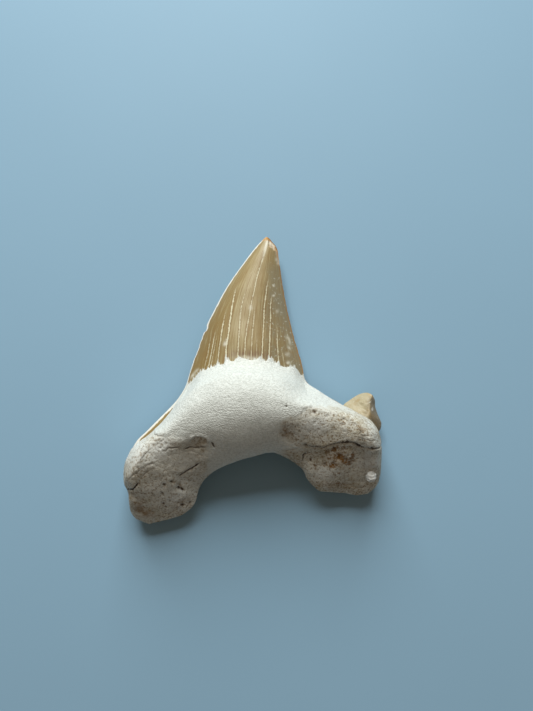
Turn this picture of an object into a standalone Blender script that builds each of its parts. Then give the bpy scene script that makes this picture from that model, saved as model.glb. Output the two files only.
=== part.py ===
"""Fossil shark tooth, lying on its flat outer face with the bulging inner face up.

The tooth is one natural piece: a pointed enamel crown, a forked root with a swollen
middle, a small broken side cusp and a round crust grown onto one lobe.
Each form is a closed skin of computed rings, and the forms are joined into one solid.

Axes: X to the right across the root, Y towards the crown's point, Z up.
The origin is under the middle of the tooth, on the surface that it rests on.
Outlines are drawn in millimetres about a sketch point, and moved to the origin at the end.
"""
import math

import bmesh
import bpy
import numpy as np

MM = 0.001

# Driving dimensions, in millimetres
POINT_Y = 39.7
ROOT_HEIGHT = 17.6
CROWN_BULGE = 5.8
CROWN_BELLY = 2.9
EDGE_HEIGHT = 2.75
SIDE_CUSP_HEIGHT = 5.15
SIDE_CUSP_BULGE = 3.1
CRUST_RADIUS = 1.1
CROWN_MIDDLE_X = -2.5
SKETCH_MIDDLE = (-2.465, 8.2)

# How finely each form is divided
CROWN_RINGS = 40
CROWN_SIDE_STEPS = 12
ROOT_RINGS = 84
ROOT_QUARTER_STEPS = 9
CUSP_RINGS = 10
CUSP_SIDE_STEPS = 8
# Points of a folded ring that are this close are one point
MERGE_DISTANCE = 0.02


def through(knots, at):
    """Smooth curve through rows of (parameter, values...), which never swings past its rows.

    Each row's slope is the harmonic mean of the slopes beside it, or zero where they turn.
    """
    knots = np.asarray(knots, float)
    place, values = knots[:, 0], knots[:, 1:]
    rise = np.diff(values, axis=0) / np.diff(place)[:, None]
    before, after = rise[:-1], rise[1:]
    same_way = before * after > 0
    total = np.where(same_way, before + after, 1.0)
    turn = np.where(same_way, 2 * before * after / total, 0.0)
    slope = np.vstack([rise[:1], turn, rise[-1:]])
    at = np.atleast_1d(np.asarray(at, float))
    first = np.clip(np.searchsorted(place, at) - 1, 0, len(place) - 2)
    span = (place[first + 1] - place[first])[:, None]
    t = np.clip((at - place[first])[:, None] / span, 0.0, 1.0)
    return (
        values[first] * (2 * t**3 - 3 * t**2 + 1)
        + values[first + 1] * (3 * t**2 - 2 * t**3)
        + slope[first] * span * (t**3 - 2 * t**2 + t)
        + slope[first + 1] * span * (t**3 - t**2)
    )


def ease(low, high, value):
    """Smooth step from 0 at low to 1 at high."""
    t = np.clip((value - low) / (high - low), 0.0, 1.0)
    return t * t * (3 - 2 * t)


def soft_max(a, b, width):
    """The larger of two heights, rounded where they are closer than width."""
    near = np.clip(width - np.abs(a - b), 0.0, None) / width
    return np.maximum(a, b) + near * near * width / 4


# Crown: cutting edges, as x for each y from the root's shoulders to the point.
# The right edge has a broken corner just below the point.
LEFT_EDGE = (
    (-8.9, -28.9), (-7.9, -29.2), (-5.9, -28.3), (-3.7, -26.15), (-1.5, -24.0),
    (1.2, -21.35), (3.6, -19.3), (6.4, -17.75), (10.5, -16.6), (15.3, -14.95),
    (19.1, -13.65), (22.4, -12.1), (28.1, -9.1), (33.8, -5.2), (37.3, -2.55),
    (39.2, -0.8), (POINT_Y, -0.25),
)
RIGHT_EDGE = (
    (-8.9, 23.2), (-4.6, 23.5), (-2.5, 22.8), (-0.4, 21.1), (1.6, 17.4), (3.1, 14.8),
    (4.6, 11.9), (6.1, 9.75), (7.9, 8.4), (10.5, 7.95), (16.3, 6.3), (23.6, 4.55),
    (30.0, 3.45), (35.6, 2.65), (37.1, 2.4), (37.9, 1.95), (38.7, 1.2), (39.3, 0.75),
    (POINT_Y, 0.3),
)
# A chip out of the left edge: it steps in at the first y and is back at the last
CHIP_SPAN = (18.0, 18.5, 18.8, 20.0)
CHIP_DEPTH = 0.45
# For each y: height of the cutting edges, bulge above them and belly below them, as shares
CROWN_SECTION = (
    (-8.9, 1.15, 0.12, 0.50), (-4.0, 1.12, 0.45, 0.54), (1.0, 1.10, 0.80, 0.62),
    (8.0, 1.05, 0.97, 0.78), (14.0, 1.00, 1.00, 0.93), (20.0, 0.98, 0.87, 1.00),
    (25.0, 1.02, 0.72, 0.92), (30.0, 1.09, 0.55, 0.70), (35.0, 1.20, 0.34, 0.42),
    (38.4, 1.28, 0.17, 0.22), (POINT_Y, 1.32, 0.07, 0.10),
)
CROWN_FOOT_Y = -8.7
RIDGE_SHARE = 0.46
BULGE_POWER = 2.15
BELLY_POWER = 2.7
# The crown's foot lies inside the root, higher in the middle than at the shoulders
FOOT_LIFT = 8.4
FOOT_LIFT_WIDTH = 14.0
FOOT_LIFT_END_Y = 4.0
# The outer face's enamel ends in an arch, and its edge stands proud of the root there
ARCH_TOP_Y = 2.0
ARCH_DROP = 0.016
ARCH_LOWEST_Y = -5.2
ENAMEL_STEP = 0.3
ENAMEL_DIVE = 0.9
ENAMEL_DIVE_MOST = 1.2


def crown_section(x, y):
    """Edge height, and how far across the crown a place is: 0 on the ridge, 1 on an edge."""
    left = through(LEFT_EDGE, y)[:, 0]
    right = through(RIGHT_EDGE, y)[:, 0]
    share = (x - left) / (right - left)
    across = np.where(share < RIDGE_SHARE, (RIDGE_SHARE - share) / RIDGE_SHARE,
                      (share - RIDGE_SHARE) / (1 - RIDGE_SHARE))
    section = through(CROWN_SECTION, y)
    return section, across, right - left


def crown_front(x, y):
    """Height of the inner, bulging face: edge height plus a rounded ridge.

    Outside the crown's outline it falls away as steeply as it is far from it.
    """
    section, across, width = crown_section(x, y)
    bulge = CROWN_BULGE * section[:, 1] * (1 - np.minimum(across, 1.0) ** BULGE_POWER)
    outside = np.clip(across - 1.0, 0.0, None) * width + np.clip(CROWN_FOOT_Y - y, 0.0, None)
    return EDGE_HEIGHT * section[:, 0] + bulge - outside


def crown_back(x, y):
    """Height of the outer, nearly flat face: edge height less a shallow belly."""
    section, across, _ = crown_section(x, y)
    belly = CROWN_BELLY * section[:, 2] * (1 - np.minimum(across, 1.0) ** BELLY_POWER)
    return EDGE_HEIGHT * section[:, 0] - belly


def past_arch(x, y):
    """How far a place lies beyond the arch that ends the outer face's enamel."""
    arch = ARCH_TOP_Y - ARCH_DROP * (x - CROWN_MIDDLE_X) ** 2
    return np.maximum(arch, ARCH_LOWEST_Y) - y


def crown_rings():
    """Rings across the crown, closer together where its outline turns."""
    place = np.linspace(0.0, 1.0, CROWN_RINGS)
    rings = []
    across = (1 - np.cos(np.linspace(0, math.pi, CROWN_SIDE_STEPS + 1))) / 2
    for y in CROWN_FOOT_Y + (POINT_Y - CROWN_FOOT_Y) * place:
        chipped = ease(*CHIP_SPAN[:2], y) * (1 - ease(*CHIP_SPAN[2:], y)) * CHIP_DEPTH
        left = through(LEFT_EDGE, y)[0, 0] + chipped
        right = through(RIGHT_EDGE, y)[0, 0]
        x = left + (right - left) * across
        low = 1 - ease(CROWN_FOOT_Y, FOOT_LIFT_END_Y, y)
        lift = FOOT_LIFT * np.exp(-(((x - CROWN_MIDDLE_X) / FOOT_LIFT_WIDTH) ** 2))
        row = y + low * lift * np.sin(math.pi * across)
        sunk = np.minimum(ENAMEL_DIVE * np.clip(past_arch(x, row), 0.0, None), ENAMEL_DIVE_MOST)
        top, bottom = crown_front(x, row), crown_back(x, row)
        bottom = np.minimum(bottom + sunk, (top + bottom) / 2)
        front = np.column_stack([x, row, top])
        back = np.column_stack([x, row, bottom])[1:-1][::-1]
        rings.append(np.vstack([front, back]))
    return rings


# Root: rows of (station, x, y, height) from the left lobe's end to the right lobe's end.
# Rim rows have a height in millimetres, crest rows a share of the root's height.
OUTER_RIM = (
    (0.0, -25.1, -23.3, 3.6), (1.0, -28.0, -21.95, 3.7), (2.0, -29.1, -19.8, 3.8),
    (3.0, -29.25, -17.26, 4.0), (4.0, -29.96, -14.57, 4.4), (4.8, -30.0, -11.28, 4.8),
    (5.6, -28.7, -7.7, 5.0), (6.4, -25.05, -4.5, 5.3), (7.2, -21.75, -1.3, 5.2),
    (8.1, -18.85, 2.9, 5.0), (9.1, -16.9, 7.2, 4.0), (10.3, -12.7, 12.4, 4.0),
    (12.0, -4.6, 14.6, 4.0), (13.0, 2.4, 13.4, 4.0), (14.0, 6.9, 10.2, 4.0),
    (15.0, 8.7, 7.1, 4.6), (16.0, 11.6, 4.8, 5.2), (17.0, 15.2, 2.5, 5.7),
    (18.0, 18.8, 0.6, 6.0), (19.0, 22.2, -1.7, 6.2), (20.0, 23.98, -4.92, 5.6),
    (21.0, 24.4, -8.9, 4.8), (22.0, 24.3, -12.6, 4.3), (23.0, 23.5, -15.2, 4.0),
    (24.0, 21.7, -16.9, 3.8),
)
INNER_RIM = (
    (0.0, -25.1, -23.3, 3.6), (1.0, -21.1, -22.5, 3.6), (2.0, -17.5, -21.1, 3.8),
    (3.0, -15.25, -18.7, 4.3), (4.0, -14.42, -15.73, 5.2), (5.0, -12.97, -13.47, 6.2),
    (6.0, -10.73, -11.73, 7.1), (7.0, -8.2, -10.5, 7.9), (8.0, -6.0, -9.7, 8.2),
    (9.0, -4.2, -9.15, 8.4), (10.0, -2.7, -8.75, 8.5), (11.0, -1.3, -8.35, 8.5),
    (12.0, 0.1, -8.0, 8.4), (13.0, 1.5, -7.95, 8.0), (14.0, 2.9, -8.35, 7.6),
    (15.0, 4.4, -9.2, 7.2), (16.0, 6.0, -10.3, 6.8), (17.0, 7.6, -11.7, 6.4),
    (18.0, 8.4, -13.35, 6.0), (19.0, 9.8, -15.1, 5.2), (20.0, 12.0, -16.5, 4.4),
    (21.0, 14.72, -16.64, 4.0), (22.0, 17.17, -16.77, 3.8), (23.0, 19.5, -17.1, 3.8),
    (24.0, 21.7, -16.9, 3.8),
)
CREST = (
    (0.0, -24.1, -8.2, 0.825), (3.0, -24.1, -8.2, 0.825), (4.0, -23.8, -7.8, 0.83),
    (5.0, -22.4, -6.6, 0.84), (6.0, -20.2, -5.1, 0.855), (7.0, -17.5, -3.2, 0.88),
    (8.0, -14.4, -1.3, 0.92), (9.0, -11.0, 0.3, 0.96), (10.0, -7.7, 1.6, 0.99),
    (11.0, -4.6, 2.4, 1.00), (12.0, -1.7, 2.7, 1.00), (13.0, 1.4, 2.2, 0.985),
    (14.0, 4.2, 1.6, 0.96), (15.0, 6.8, 1.2, 0.93), (16.0, 9.3, 0.8, 0.90),
    (17.0, 11.7, 0.3, 0.875), (18.0, 14.0, -0.4, 0.86), (19.0, 16.0, -1.4, 0.85),
    (20.0, 17.6, -2.6, 0.84), (21.0, 18.4, -3.3, 0.835), (24.0, 18.4, -3.3, 0.835),
)
# (station, underside height, roundness of the quarters: outer, inner, lower outer and
# lower inner, and how far the outer quarter is a neck that runs out onto the crown)
ROOT_FORM = (
    (0.0, -0.35, 1.1, 1.1, 2.6, 2.6, 0.0), (2.0, -0.35, 1.4, 1.1, 2.6, 2.6, 0.0),
    (4.0, -0.35, 1.8, 1.15, 2.4, 2.6, 0.0), (6.0, 0.30, 1.9, 1.25, 1.9, 2.5, 0.0),
    (8.0, 0.90, 1.9, 1.4, 1.8, 2.4, 0.0), (10.0, 1.30, 2.0, 1.5, 1.8, 2.3, 0.2),
    (11.0, 1.40, 2.0, 1.5, 1.8, 2.3, 0.3), (13.0, 1.40, 2.0, 1.5, 1.8, 2.3, 0.4),
    (14.5, 1.20, 1.9, 1.5, 1.8, 2.3, 0.7), (16.0, 0.90, 1.9, 1.45, 1.8, 2.4, 0.6),
    (18.0, 0.30, 2.0, 1.35, 2.0, 2.6, 0.2), (20.0, -0.35, 1.9, 1.2, 2.6, 2.6, 0.0),
    (22.0, -0.35, 1.5, 1.1, 2.6, 2.6, 0.0), (24.0, -0.35, 1.1, 1.1, 2.6, 2.6, 0.0),
)
# The chalky neck laps over the enamel down to this line: y for each x
NECK_LINE = (
    (-21.5, 8.6), (-19.2, 7.2), (-17.3, 6.7), (-16.0, 7.7), (-14.0, 9.5), (-11.5, 10.5),
    (-6.1, 12.0), (-2.0, 11.9), (1.5, 11.3), (5.7, 10.3), (7.4, 9.1), (8.5, 8.0),
    (10.0, 8.1), (12.5, 9.4),
)
COAT = 0.3
COAT_RISE = 1.5
COAT_DIVE = 1.1
NECK_RISE = 4.5
NECK_BLEND = 3.0
# The underside stays this far below the rim, from this far away from it
RIM_GAP = 0.15
RIM_GAP_REACH = 1.0
# Dents and swellings fade out this far above the rims
RELIEF_RISE = 3.0
# The crest is rounded over this distance, but no more than this share of the way to a rim
CREST_SOFTNESS = 2.2
CREST_SOFTNESS_MOST = 0.6
# Dents and swellings of the root's upper side: (x, y, half length, half width, turn, depth)
DENTS = (
    (-14.6, -6.9, 4.0, 2.0, 8.0, 0.75),
    (4.6, -4.4, 2.6, 2.1, -50.0, 0.75),
    (9.0, -8.9, 3.2, 1.6, -20.0, 0.55),
    (-28.2, -16.0, 2.4, 1.2, -30.0, 0.60),
    (-25.6, -19.6, 2.4, 1.8, 40.0, 0.30),
    (21.6, -12.9, 2.3, 2.1, 0.0, 0.45),
    (-18.6, -11.6, 4.0, 2.6, -35.0, -0.35),
    (13.2, -2.2, 4.4, 2.2, -28.0, -0.35),
    (19.4, -3.6, 2.6, 2.0, -45.0, -0.45),
)
# A ledge across the right lobe, along a crack: the pillow above it overhangs the block below
LEDGE = (
    (4.0, -6.6), (7.7, -6.4), (11.7, -6.9), (14.6, -5.8), (17.1, -5.8), (20.0, -7.0),
    (24.0, -7.4),
)
LEDGE_DROP = 0.9
# How far below the crack the drop starts, is whole and has faded again
LEDGE_START = -0.6
LEDGE_FOOT = 1.2
LEDGE_REACH = 9.5
LEDGE_ENDS = (4.0, 11.7, 20.0, 25.0)


def root_relief(x, y):
    """Dents, swellings and the ledge of the root's upper side, as a change of height."""
    change = np.zeros_like(x)
    for mid_x, mid_y, length, width, turn, depth in DENTS:
        angle = math.radians(turn)
        along = ((x - mid_x) * math.cos(angle) + (y - mid_y) * math.sin(angle)) / length
        across = ((y - mid_y) * math.cos(angle) - (x - mid_x) * math.sin(angle)) / width
        change -= depth * np.exp(-(along**2 + across**2))
    below = np.interp(x, [p[0] for p in LEDGE], [p[1] for p in LEDGE]) - y
    step = ease(LEDGE_START, LEDGE_FOOT, below) * (1 - ease(LEDGE_FOOT, LEDGE_REACH, below))
    span = ease(*LEDGE_ENDS[:2], x) * (1 - ease(*LEDGE_ENDS[2:], x))
    return change - LEDGE_DROP * step * span


def neck_top(x, y, height):
    """Height of the root where it laps over the crown's enamel.

    It starts as a thin coat at the neck line, rises into the swollen root over a few
    millimetres, and dives into the crown past the line, to no more than its middle.
    """
    line = through(NECK_LINE, np.clip(x, NECK_LINE[0][0], NECK_LINE[-1][0]))[:, 0]
    inside = line - y
    top = crown_front(x, y)
    half = np.clip(top - crown_back(x, y), 0.0, None) / 2
    rise = COAT * ease(0.0, COAT_RISE, inside)
    coat = np.where(inside > 0, rise, -np.minimum(-COAT_DIVE * inside, half))
    lap = top + coat
    return lap + (soft_max(height, lap, NECK_BLEND) - lap) * ease(0.0, NECK_RISE, inside)


def root_under(x, y, height):
    """Height of the root's underside where it runs under the crown's enamel.

    Past the arch it starts a step above the enamel's face and eases into its own form.
    Before the arch it climbs into the crown, to no more than its middle.
    """
    inside = past_arch(x, y)
    bottom = crown_back(x, y)
    half = np.clip(crown_front(x, y) - bottom, 0.0, None) / 2
    lap = bottom + ENAMEL_STEP + np.clip(-COAT_DIVE * inside, 0.0, np.maximum(half - ENAMEL_STEP, 0.0))
    return lap + (height - lap) * ease(0.0, NECK_RISE, inside)


def quarter(rim, crest, power, steps, neck=0.0):
    """Rounded quarter of a section, from the rim to the crest.

    The shares of the way across and of the height are those of a superellipse, whose
    share across is softened near the crest so that no crease shows there.
    On the neck the height follows a bell curve, which is level at both ends.
    """
    angle = np.linspace(0.0, math.pi / 2, steps + 1)
    across = np.clip(np.cos(angle), 0.0, 1.0) ** (2 / power)
    length = max(math.dist(rim[:2], crest[:2]), MERGE_DISTANCE)
    softness = min(CREST_SOFTNESS / length, CREST_SOFTNESS_MOST)
    soft = (np.hypot(across, softness) - softness) / (math.hypot(1.0, softness) - softness)
    rise = np.clip(1 - soft**power, 0.0, 1.0) ** (1 / power)
    bell = (1 + np.cos(math.pi * across)) / 2
    rise = rise + (bell - rise) * neck
    flat = crest[:2] + (rim[:2] - crest[:2]) * across[:, None]
    return np.column_stack([flat, rim[2] + (crest[2] - rim[2]) * rise])


def lower_quarter(rim, belly, power):
    """Rounded quarter of the underside, from a rim to the belly, which stays below the rim."""
    side = quarter(rim, belly, power, ROOT_QUARTER_STEPS)
    away = np.hypot(*(side[:, :2] - rim[:2]).T)
    most = rim[2] - RIM_GAP * ease(0.0, RIM_GAP_REACH, away)
    side[:, 2] = np.minimum(root_under(*side.T), most)
    return side


def root_rings():
    """Rings round the root's section, from the left lobe's end to the right one's."""
    rings = []
    for station in np.linspace(OUTER_RIM[0][0], OUTER_RIM[-1][0], ROOT_RINGS):
        outer = through(OUTER_RIM, station)[0]
        inner = through(INNER_RIM, station)[0]
        crest = through(CREST, station)[0] * (1, 1, ROOT_HEIGHT)
        under, outer_power, inner_power, low_outer, low_inner, neck = through(ROOT_FORM, station)[0]
        belly = np.array([crest[0], crest[1], under])
        upper = np.vstack([
            quarter(outer, crest, outer_power, ROOT_QUARTER_STEPS, neck),
            quarter(inner, crest, inner_power, ROOT_QUARTER_STEPS)[-2::-1],
        ])
        steep = ease(0.0, RELIEF_RISE, upper[:, 2] - (outer[2] + inner[2]) / 2)
        upper[:, 2] = neck_top(upper[:, 0], upper[:, 1], upper[:, 2])
        upper[:, 2] += root_relief(upper[:, 0], upper[:, 1]) * steep
        outer[2] = upper[0, 2]
        under_outer = lower_quarter(outer, belly, low_outer)
        under_inner = lower_quarter(inner, belly, low_inner)
        rings.append(np.vstack([upper, under_inner[1:], under_outer[-2:0:-1]]))
    return rings


# Side cusp: drawn about the middle of its foot, leaning out past the right lobe's shoulder.
CUSP_FOOT = (20.85, -0.65)
CUSP_TURN = math.radians(-35.0)
CUSP_ROOT_DEPTH = 4.5
# (height, left edge, right edge, edge height as the tooth lies, bulge share), broken off flat
CUSP_OUTLINE = (
    (-CUSP_ROOT_DEPTH, -4.4, 3.4, 3.0, 1.0), (0.0, -4.75, 4.8, 3.0, 1.0),
    (1.3, -4.35, 4.3, 3.0, 0.95), (2.5, -3.9, 2.5, 3.1, 0.85),
    (3.6, -3.4, 1.1, 3.2, 0.70), (4.7, -2.55, 0.25, 3.3, 0.50),
    (SIDE_CUSP_HEIGHT, -1.9, -0.45, 3.3, 0.40),
)
CUSP_RIDGE_SHARE = 0.55
CUSP_BELLY = 0.55
CUSP_BULGE_POWER = 1.4


def cusp_rings():
    """Rings across the side cusp: a ridge above the edges and a shallow belly below them."""
    rings = []
    share = (1 - np.cos(np.linspace(0, math.pi, CUSP_SIDE_STEPS + 1))) / 2
    away = np.where(share < CUSP_RIDGE_SHARE, 1 - share / CUSP_RIDGE_SHARE,
                    (share - CUSP_RIDGE_SHARE) / (1 - CUSP_RIDGE_SHARE))
    for height in np.linspace(-CUSP_ROOT_DEPTH, SIDE_CUSP_HEIGHT, CUSP_RINGS):
        left, right, level, swell = through(CUSP_OUTLINE, height)[0]
        along = left + (right - left) * share
        x = CUSP_FOOT[0] + along * math.cos(CUSP_TURN) - height * math.sin(CUSP_TURN)
        y = CUSP_FOOT[1] + along * math.sin(CUSP_TURN) + height * math.cos(CUSP_TURN)
        bulge = SIDE_CUSP_BULGE * swell * (1 - away**CUSP_BULGE_POWER)
        front = np.column_stack([x, y, level + bulge])
        back = np.column_stack([x, y, level - bulge * CUSP_BELLY])[1:-1][::-1]
        rings.append(np.vstack([front, back]))
    return rings


# Round crust on the right lobe: a small ball, partly sunk into the bone
CRUST_MIDDLE = (21.65, -12.85, 8.0)
CRUST_SHAPE = (1.0, 1.12, 0.95)


def skin(name, rings, folded=False):
    """Closed object from rings of equal count, with its ends capped, or merged if folded."""
    mesh = bmesh.new()
    rows = []
    for ring in rings:
        ring = ring.copy()
        ring[:, 2] = np.maximum(ring[:, 2], 0.0)
        ring[:, :2] -= SKETCH_MIDDLE
        rows.append([mesh.verts.new(point) for point in (ring * MM).tolist()])
    count = len(rows[0])
    for row, following in zip(rows, rows[1:]):
        for i in range(count):
            j = (i + 1) % count
            mesh.faces.new((row[i], row[j], following[j], following[i]))
    if folded:
        bmesh.ops.remove_doubles(mesh, verts=mesh.verts, dist=MERGE_DISTANCE * MM)
    else:
        mesh.faces.new(rows[0][::-1])
        mesh.faces.new(rows[-1])
    bmesh.ops.triangulate(mesh, faces=mesh.faces)
    bmesh.ops.recalc_face_normals(mesh, faces=mesh.faces)
    return finish_mesh(name, mesh)


def finish_mesh(name, mesh):
    """Object made of a finished mesh."""
    data = bpy.data.meshes.new(name)
    mesh.to_mesh(data)
    mesh.free()
    made = bpy.data.objects.new(name, data)
    bpy.context.collection.objects.link(made)
    return made


def crust():
    """The round crust, a ball that is slightly longer than wide."""
    mesh = bmesh.new()
    bmesh.ops.create_icosphere(mesh, subdivisions=2, radius=CRUST_RADIUS * MM)
    bmesh.ops.scale(mesh, vec=CRUST_SHAPE, verts=mesh.verts)
    middle = np.array(CRUST_MIDDLE) - (*SKETCH_MIDDLE, 0)
    bmesh.ops.translate(mesh, vec=middle * MM, verts=mesh.verts)
    return finish_mesh("crust_form", mesh)


def join_to(body, form):
    """Fuse a form into the body, and keep the form only as a hidden guide."""
    fuse = body.modifiers.new(form.name, "BOOLEAN")
    fuse.operation = "UNION"
    fuse.solver = "EXACT"
    fuse.object = form
    form.hide_render = True
    form.display_type = "WIRE"


def bone_material():
    """One matt, off-white finish for the whole tooth."""
    bone = bpy.data.materials.new("fossil bone and enamel")
    bone.use_nodes = True
    shader = bone.node_tree.nodes["Principled BSDF"]
    shader.inputs["Base Color"].default_value = (0.66, 0.61, 0.50, 1.0)
    shader.inputs["Roughness"].default_value = 0.8
    return bone


for leftover in list(bpy.data.objects):
    bpy.data.objects.remove(leftover)

tooth = skin("tooth", root_rings(), folded=True)
for form in (skin("crown_form", crown_rings()), skin("cusp_form", cusp_rings()), crust()):
    join_to(tooth, form)
tooth.data.materials.append(bone_material())
tooth.data.shade_smooth()
tooth.data.set_sharp_from_angle(angle=math.radians(40))
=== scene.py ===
"""Portrait of a fossil shark tooth, which lies on its flat outer face on a plain floor.

The tooth is one natural piece. It is dressed here as crown, root, side cusp and crust, each a
closed surface computed on a grid. Shapes are drawn in millimetres about the sketch's own zero
point, and moved into the model's frame when a mesh is made.
Axes: X across the root, Y towards the crown's point, Z up from the floor.
"""
import math

import bmesh
import bpy
import numpy as np
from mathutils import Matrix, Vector


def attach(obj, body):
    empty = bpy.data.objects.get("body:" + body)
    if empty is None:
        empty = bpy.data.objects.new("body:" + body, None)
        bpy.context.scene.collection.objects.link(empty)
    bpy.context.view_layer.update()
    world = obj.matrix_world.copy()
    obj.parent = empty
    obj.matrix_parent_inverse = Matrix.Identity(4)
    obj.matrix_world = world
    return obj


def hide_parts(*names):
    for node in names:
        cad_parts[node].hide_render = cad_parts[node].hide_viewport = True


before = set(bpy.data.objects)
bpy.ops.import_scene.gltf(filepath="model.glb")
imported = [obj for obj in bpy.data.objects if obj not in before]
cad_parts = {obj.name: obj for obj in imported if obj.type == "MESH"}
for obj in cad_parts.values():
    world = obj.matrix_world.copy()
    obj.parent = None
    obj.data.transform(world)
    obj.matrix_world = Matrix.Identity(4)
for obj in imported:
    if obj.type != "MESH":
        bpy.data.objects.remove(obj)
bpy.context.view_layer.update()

# Stage: a plain matt floor in pale grey-blue, one large window beyond the crown's point and a
# little to its left, and a weak warm room around them. The camera looks down, almost upright.
MM = 0.001
SKETCH_MIDDLE = np.array([-2.465, 8.2])
CAMERA_HEIGHT = 122.0
CAMERA_TILT = math.radians(6.2)
FOCAL_PIXELS = 540.0
PHOTO_HEIGHT = 711
SENSOR = 36.0
WINDOW_PLACE = (-0.06, 0.54, 0.375)
WINDOW_SIZE = 0.42
WINDOW_POWER = 5.7
WINDOW_COLOR = (0.95, 1.0, 0.985)
ROOM_COLOR = (1.0, 0.83, 0.64)
ROOM_STRENGTH = 0.14
FLOOR_COLOR = (0.315, 0.505, 0.67)
FLOOR_SHADE = 0.93
FLOOR_CLOUDS = 18.0
FLOOR_HALF = 0.6


class Value:
    """Number that a node puts out. Arithmetic on it adds Math nodes."""

    def __init__(self, node, output=0):
        self.node, self.socket = node, node.outputs[output]

    def to(self, operation, *others):
        """Result of a Math node that takes this value first."""
        inputs = dict(enumerate((self, *others)))
        return Value(add_node(self.node.id_data, "Math", inputs, operation=operation))

    def __add__(self, other):
        return self.to("ADD", other)

    def __sub__(self, other):
        return self.to("SUBTRACT", other)

    def __mul__(self, other):
        return self.to("MULTIPLY", other)

    def __truediv__(self, other):
        return self.to("DIVIDE", other)

    def step(self, low, high, top=1.0):
        """Smooth step: 0 at low and top at high."""
        inputs = {"Value": self, "From Min": low, "From Max": high, "To Max": top}
        tree = self.node.id_data
        return Value(add_node(tree, "MapRange", inputs, interpolation_type="SMOOTHSTEP"))


def plug(node, inputs):
    """Set a node's inputs, each to a number, a colour, a socket or a value."""
    for name, given in inputs.items():
        source = getattr(given, "socket", given)
        if isinstance(source, bpy.types.NodeSocket):
            node.id_data.links.new(source, node.inputs[name])
        else:
            node.inputs[name].default_value = source


def add_node(tree, kind, inputs=None, **settings):
    """One shader node with its settings and inputs."""
    made = tree.nodes.new("ShaderNode" + kind)
    for name, value in settings.items():
        setattr(made, name, value)
    plug(made, inputs or {})
    return made


def rgba(red, green, blue):
    """Linear colour of an sRGB colour given in steps of 0 to 255."""
    steps = np.array([red, green, blue]) / 255.0
    linear = np.where(steps <= 0.04045, steps / 12.92, ((steps + 0.055) / 1.055) ** 2.4)
    return (*linear.tolist(), 1.0)


class Paint:
    """Material of a piece while it is made: its nodes, and its colour so far."""

    def __init__(self, name):
        self.material = bpy.data.materials.new(name)
        self.material.use_nodes = True
        self.tree = self.material.node_tree
        self.place = add_node(self.tree, "TexCoord").outputs["Object"]
        self.color = None

    def noise(self, scale, detail=3.0, rough=0.5, at=None):
        """Noise over the piece, or over another vector."""
        inputs = {"Vector": self.place if at is None else at, "Scale": scale, "Detail": detail,
                  "Roughness": rough}
        return Value(add_node(self.tree, "TexNoise", inputs), "Fac")

    def stretched(self, *factors):
        """The place on the piece, scaled along each axis."""
        inputs = {0: self.place, 1: factors}
        return add_node(self.tree, "VectorMath", inputs, operation="MULTIPLY").outputs[0]

    def plane(self, x, y):
        """Vector of two values."""
        return add_node(self.tree, "CombineXYZ", {"X": x, "Y": y}).outputs[0]

    def field(self, title):
        """A point attribute of the piece."""
        return Value(add_node(self.tree, "Attribute", attribute_name=title), "Fac")

    def blend(self, share, low, high):
        """Colour that goes from low to high as share goes from 0 to 1."""
        inputs = {0: share, 6: low, 7: high}
        return add_node(self.tree, "Mix", inputs, data_type="RGBA").outputs[2]

    def start(self, share, low, high):
        """Ground of the paint: a blend of two sRGB colours."""
        self.color = self.blend(share, rgba(*low), rgba(*high))

    def over(self, share, *color):
        """Lay an sRGB colour over the colour so far, as far as share goes."""
        self.color = self.blend(share, self.color, rgba(*color))

    def finish(self, rough, specular=0.5, rise=None, depth=0.0):
        """The material, with its colour, roughness and a bump of a depth in mm."""
        shader = self.tree.nodes["Principled BSDF"]
        plug(shader, {"Base Color": self.color, "Roughness": rough, "Specular IOR Level": specular})
        if rise is not None:
            inputs = {"Strength": 1.0, "Distance": depth * MM, "Height": rise}
            plug(shader, {"Normal": add_node(self.tree, "Bump", inputs).outputs[0]})
        return self.material


def floor():
    """Flat square of matt paint, with the faintest unevenness."""
    mesh = bpy.data.meshes.new("floor")
    signs = ((-1, -1), (1, -1), (1, 1), (-1, 1))
    mesh.from_pydata([(x * FLOOR_HALF, y * FLOOR_HALF, 0) for x, y in signs], [], [(0, 1, 2, 3)])
    made = bpy.data.objects.new("floor", mesh)
    bpy.context.scene.collection.objects.link(made)
    paint = Paint("floor_paint")
    darker = tuple(FLOOR_SHADE * part for part in FLOOR_COLOR)
    paint.color = paint.blend(paint.noise(FLOOR_CLOUDS), (*darker, 1.0), (*FLOOR_COLOR, 1.0))
    mesh.materials.append(paint.finish(0.62, 0.35))
    return made


def aim(thing, target):
    """Turn a light so that it faces a point."""
    way = Vector(target) - thing.location
    thing.rotation_euler = way.to_track_quat("-Z", "Y").to_euler()


floor()

window = bpy.data.objects.new("window", bpy.data.lights.new("window", "AREA"))
window.data.size = WINDOW_SIZE
window.data.energy = WINDOW_POWER
window.data.color = WINDOW_COLOR
window.location = WINDOW_PLACE
aim(window, (0.0, 0.0, 0.0))
bpy.context.scene.collection.objects.link(window)

room = bpy.data.worlds.new("room")
room.use_nodes = True
room.node_tree.nodes["Background"].inputs["Color"].default_value = (*ROOM_COLOR, 1.0)
room.node_tree.nodes["Background"].inputs["Strength"].default_value = ROOM_STRENGTH
bpy.context.scene.world = room
bpy.context.scene.view_settings.view_transform = "Standard"

camera = bpy.data.objects.new("camera", bpy.data.cameras.new("camera"))
camera.data.sensor_width = SENSOR
camera.data.lens = FOCAL_PIXELS / PHOTO_HEIGHT * SENSOR
camera.data.clip_start = 0.01
camera.location = (*(-SKETCH_MIDDLE * MM), CAMERA_HEIGHT * MM)
camera.rotation_euler = (CAMERA_TILT, 0.0, 0.0)
bpy.context.scene.collection.objects.link(camera)
bpy.context.scene.camera = camera


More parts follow.
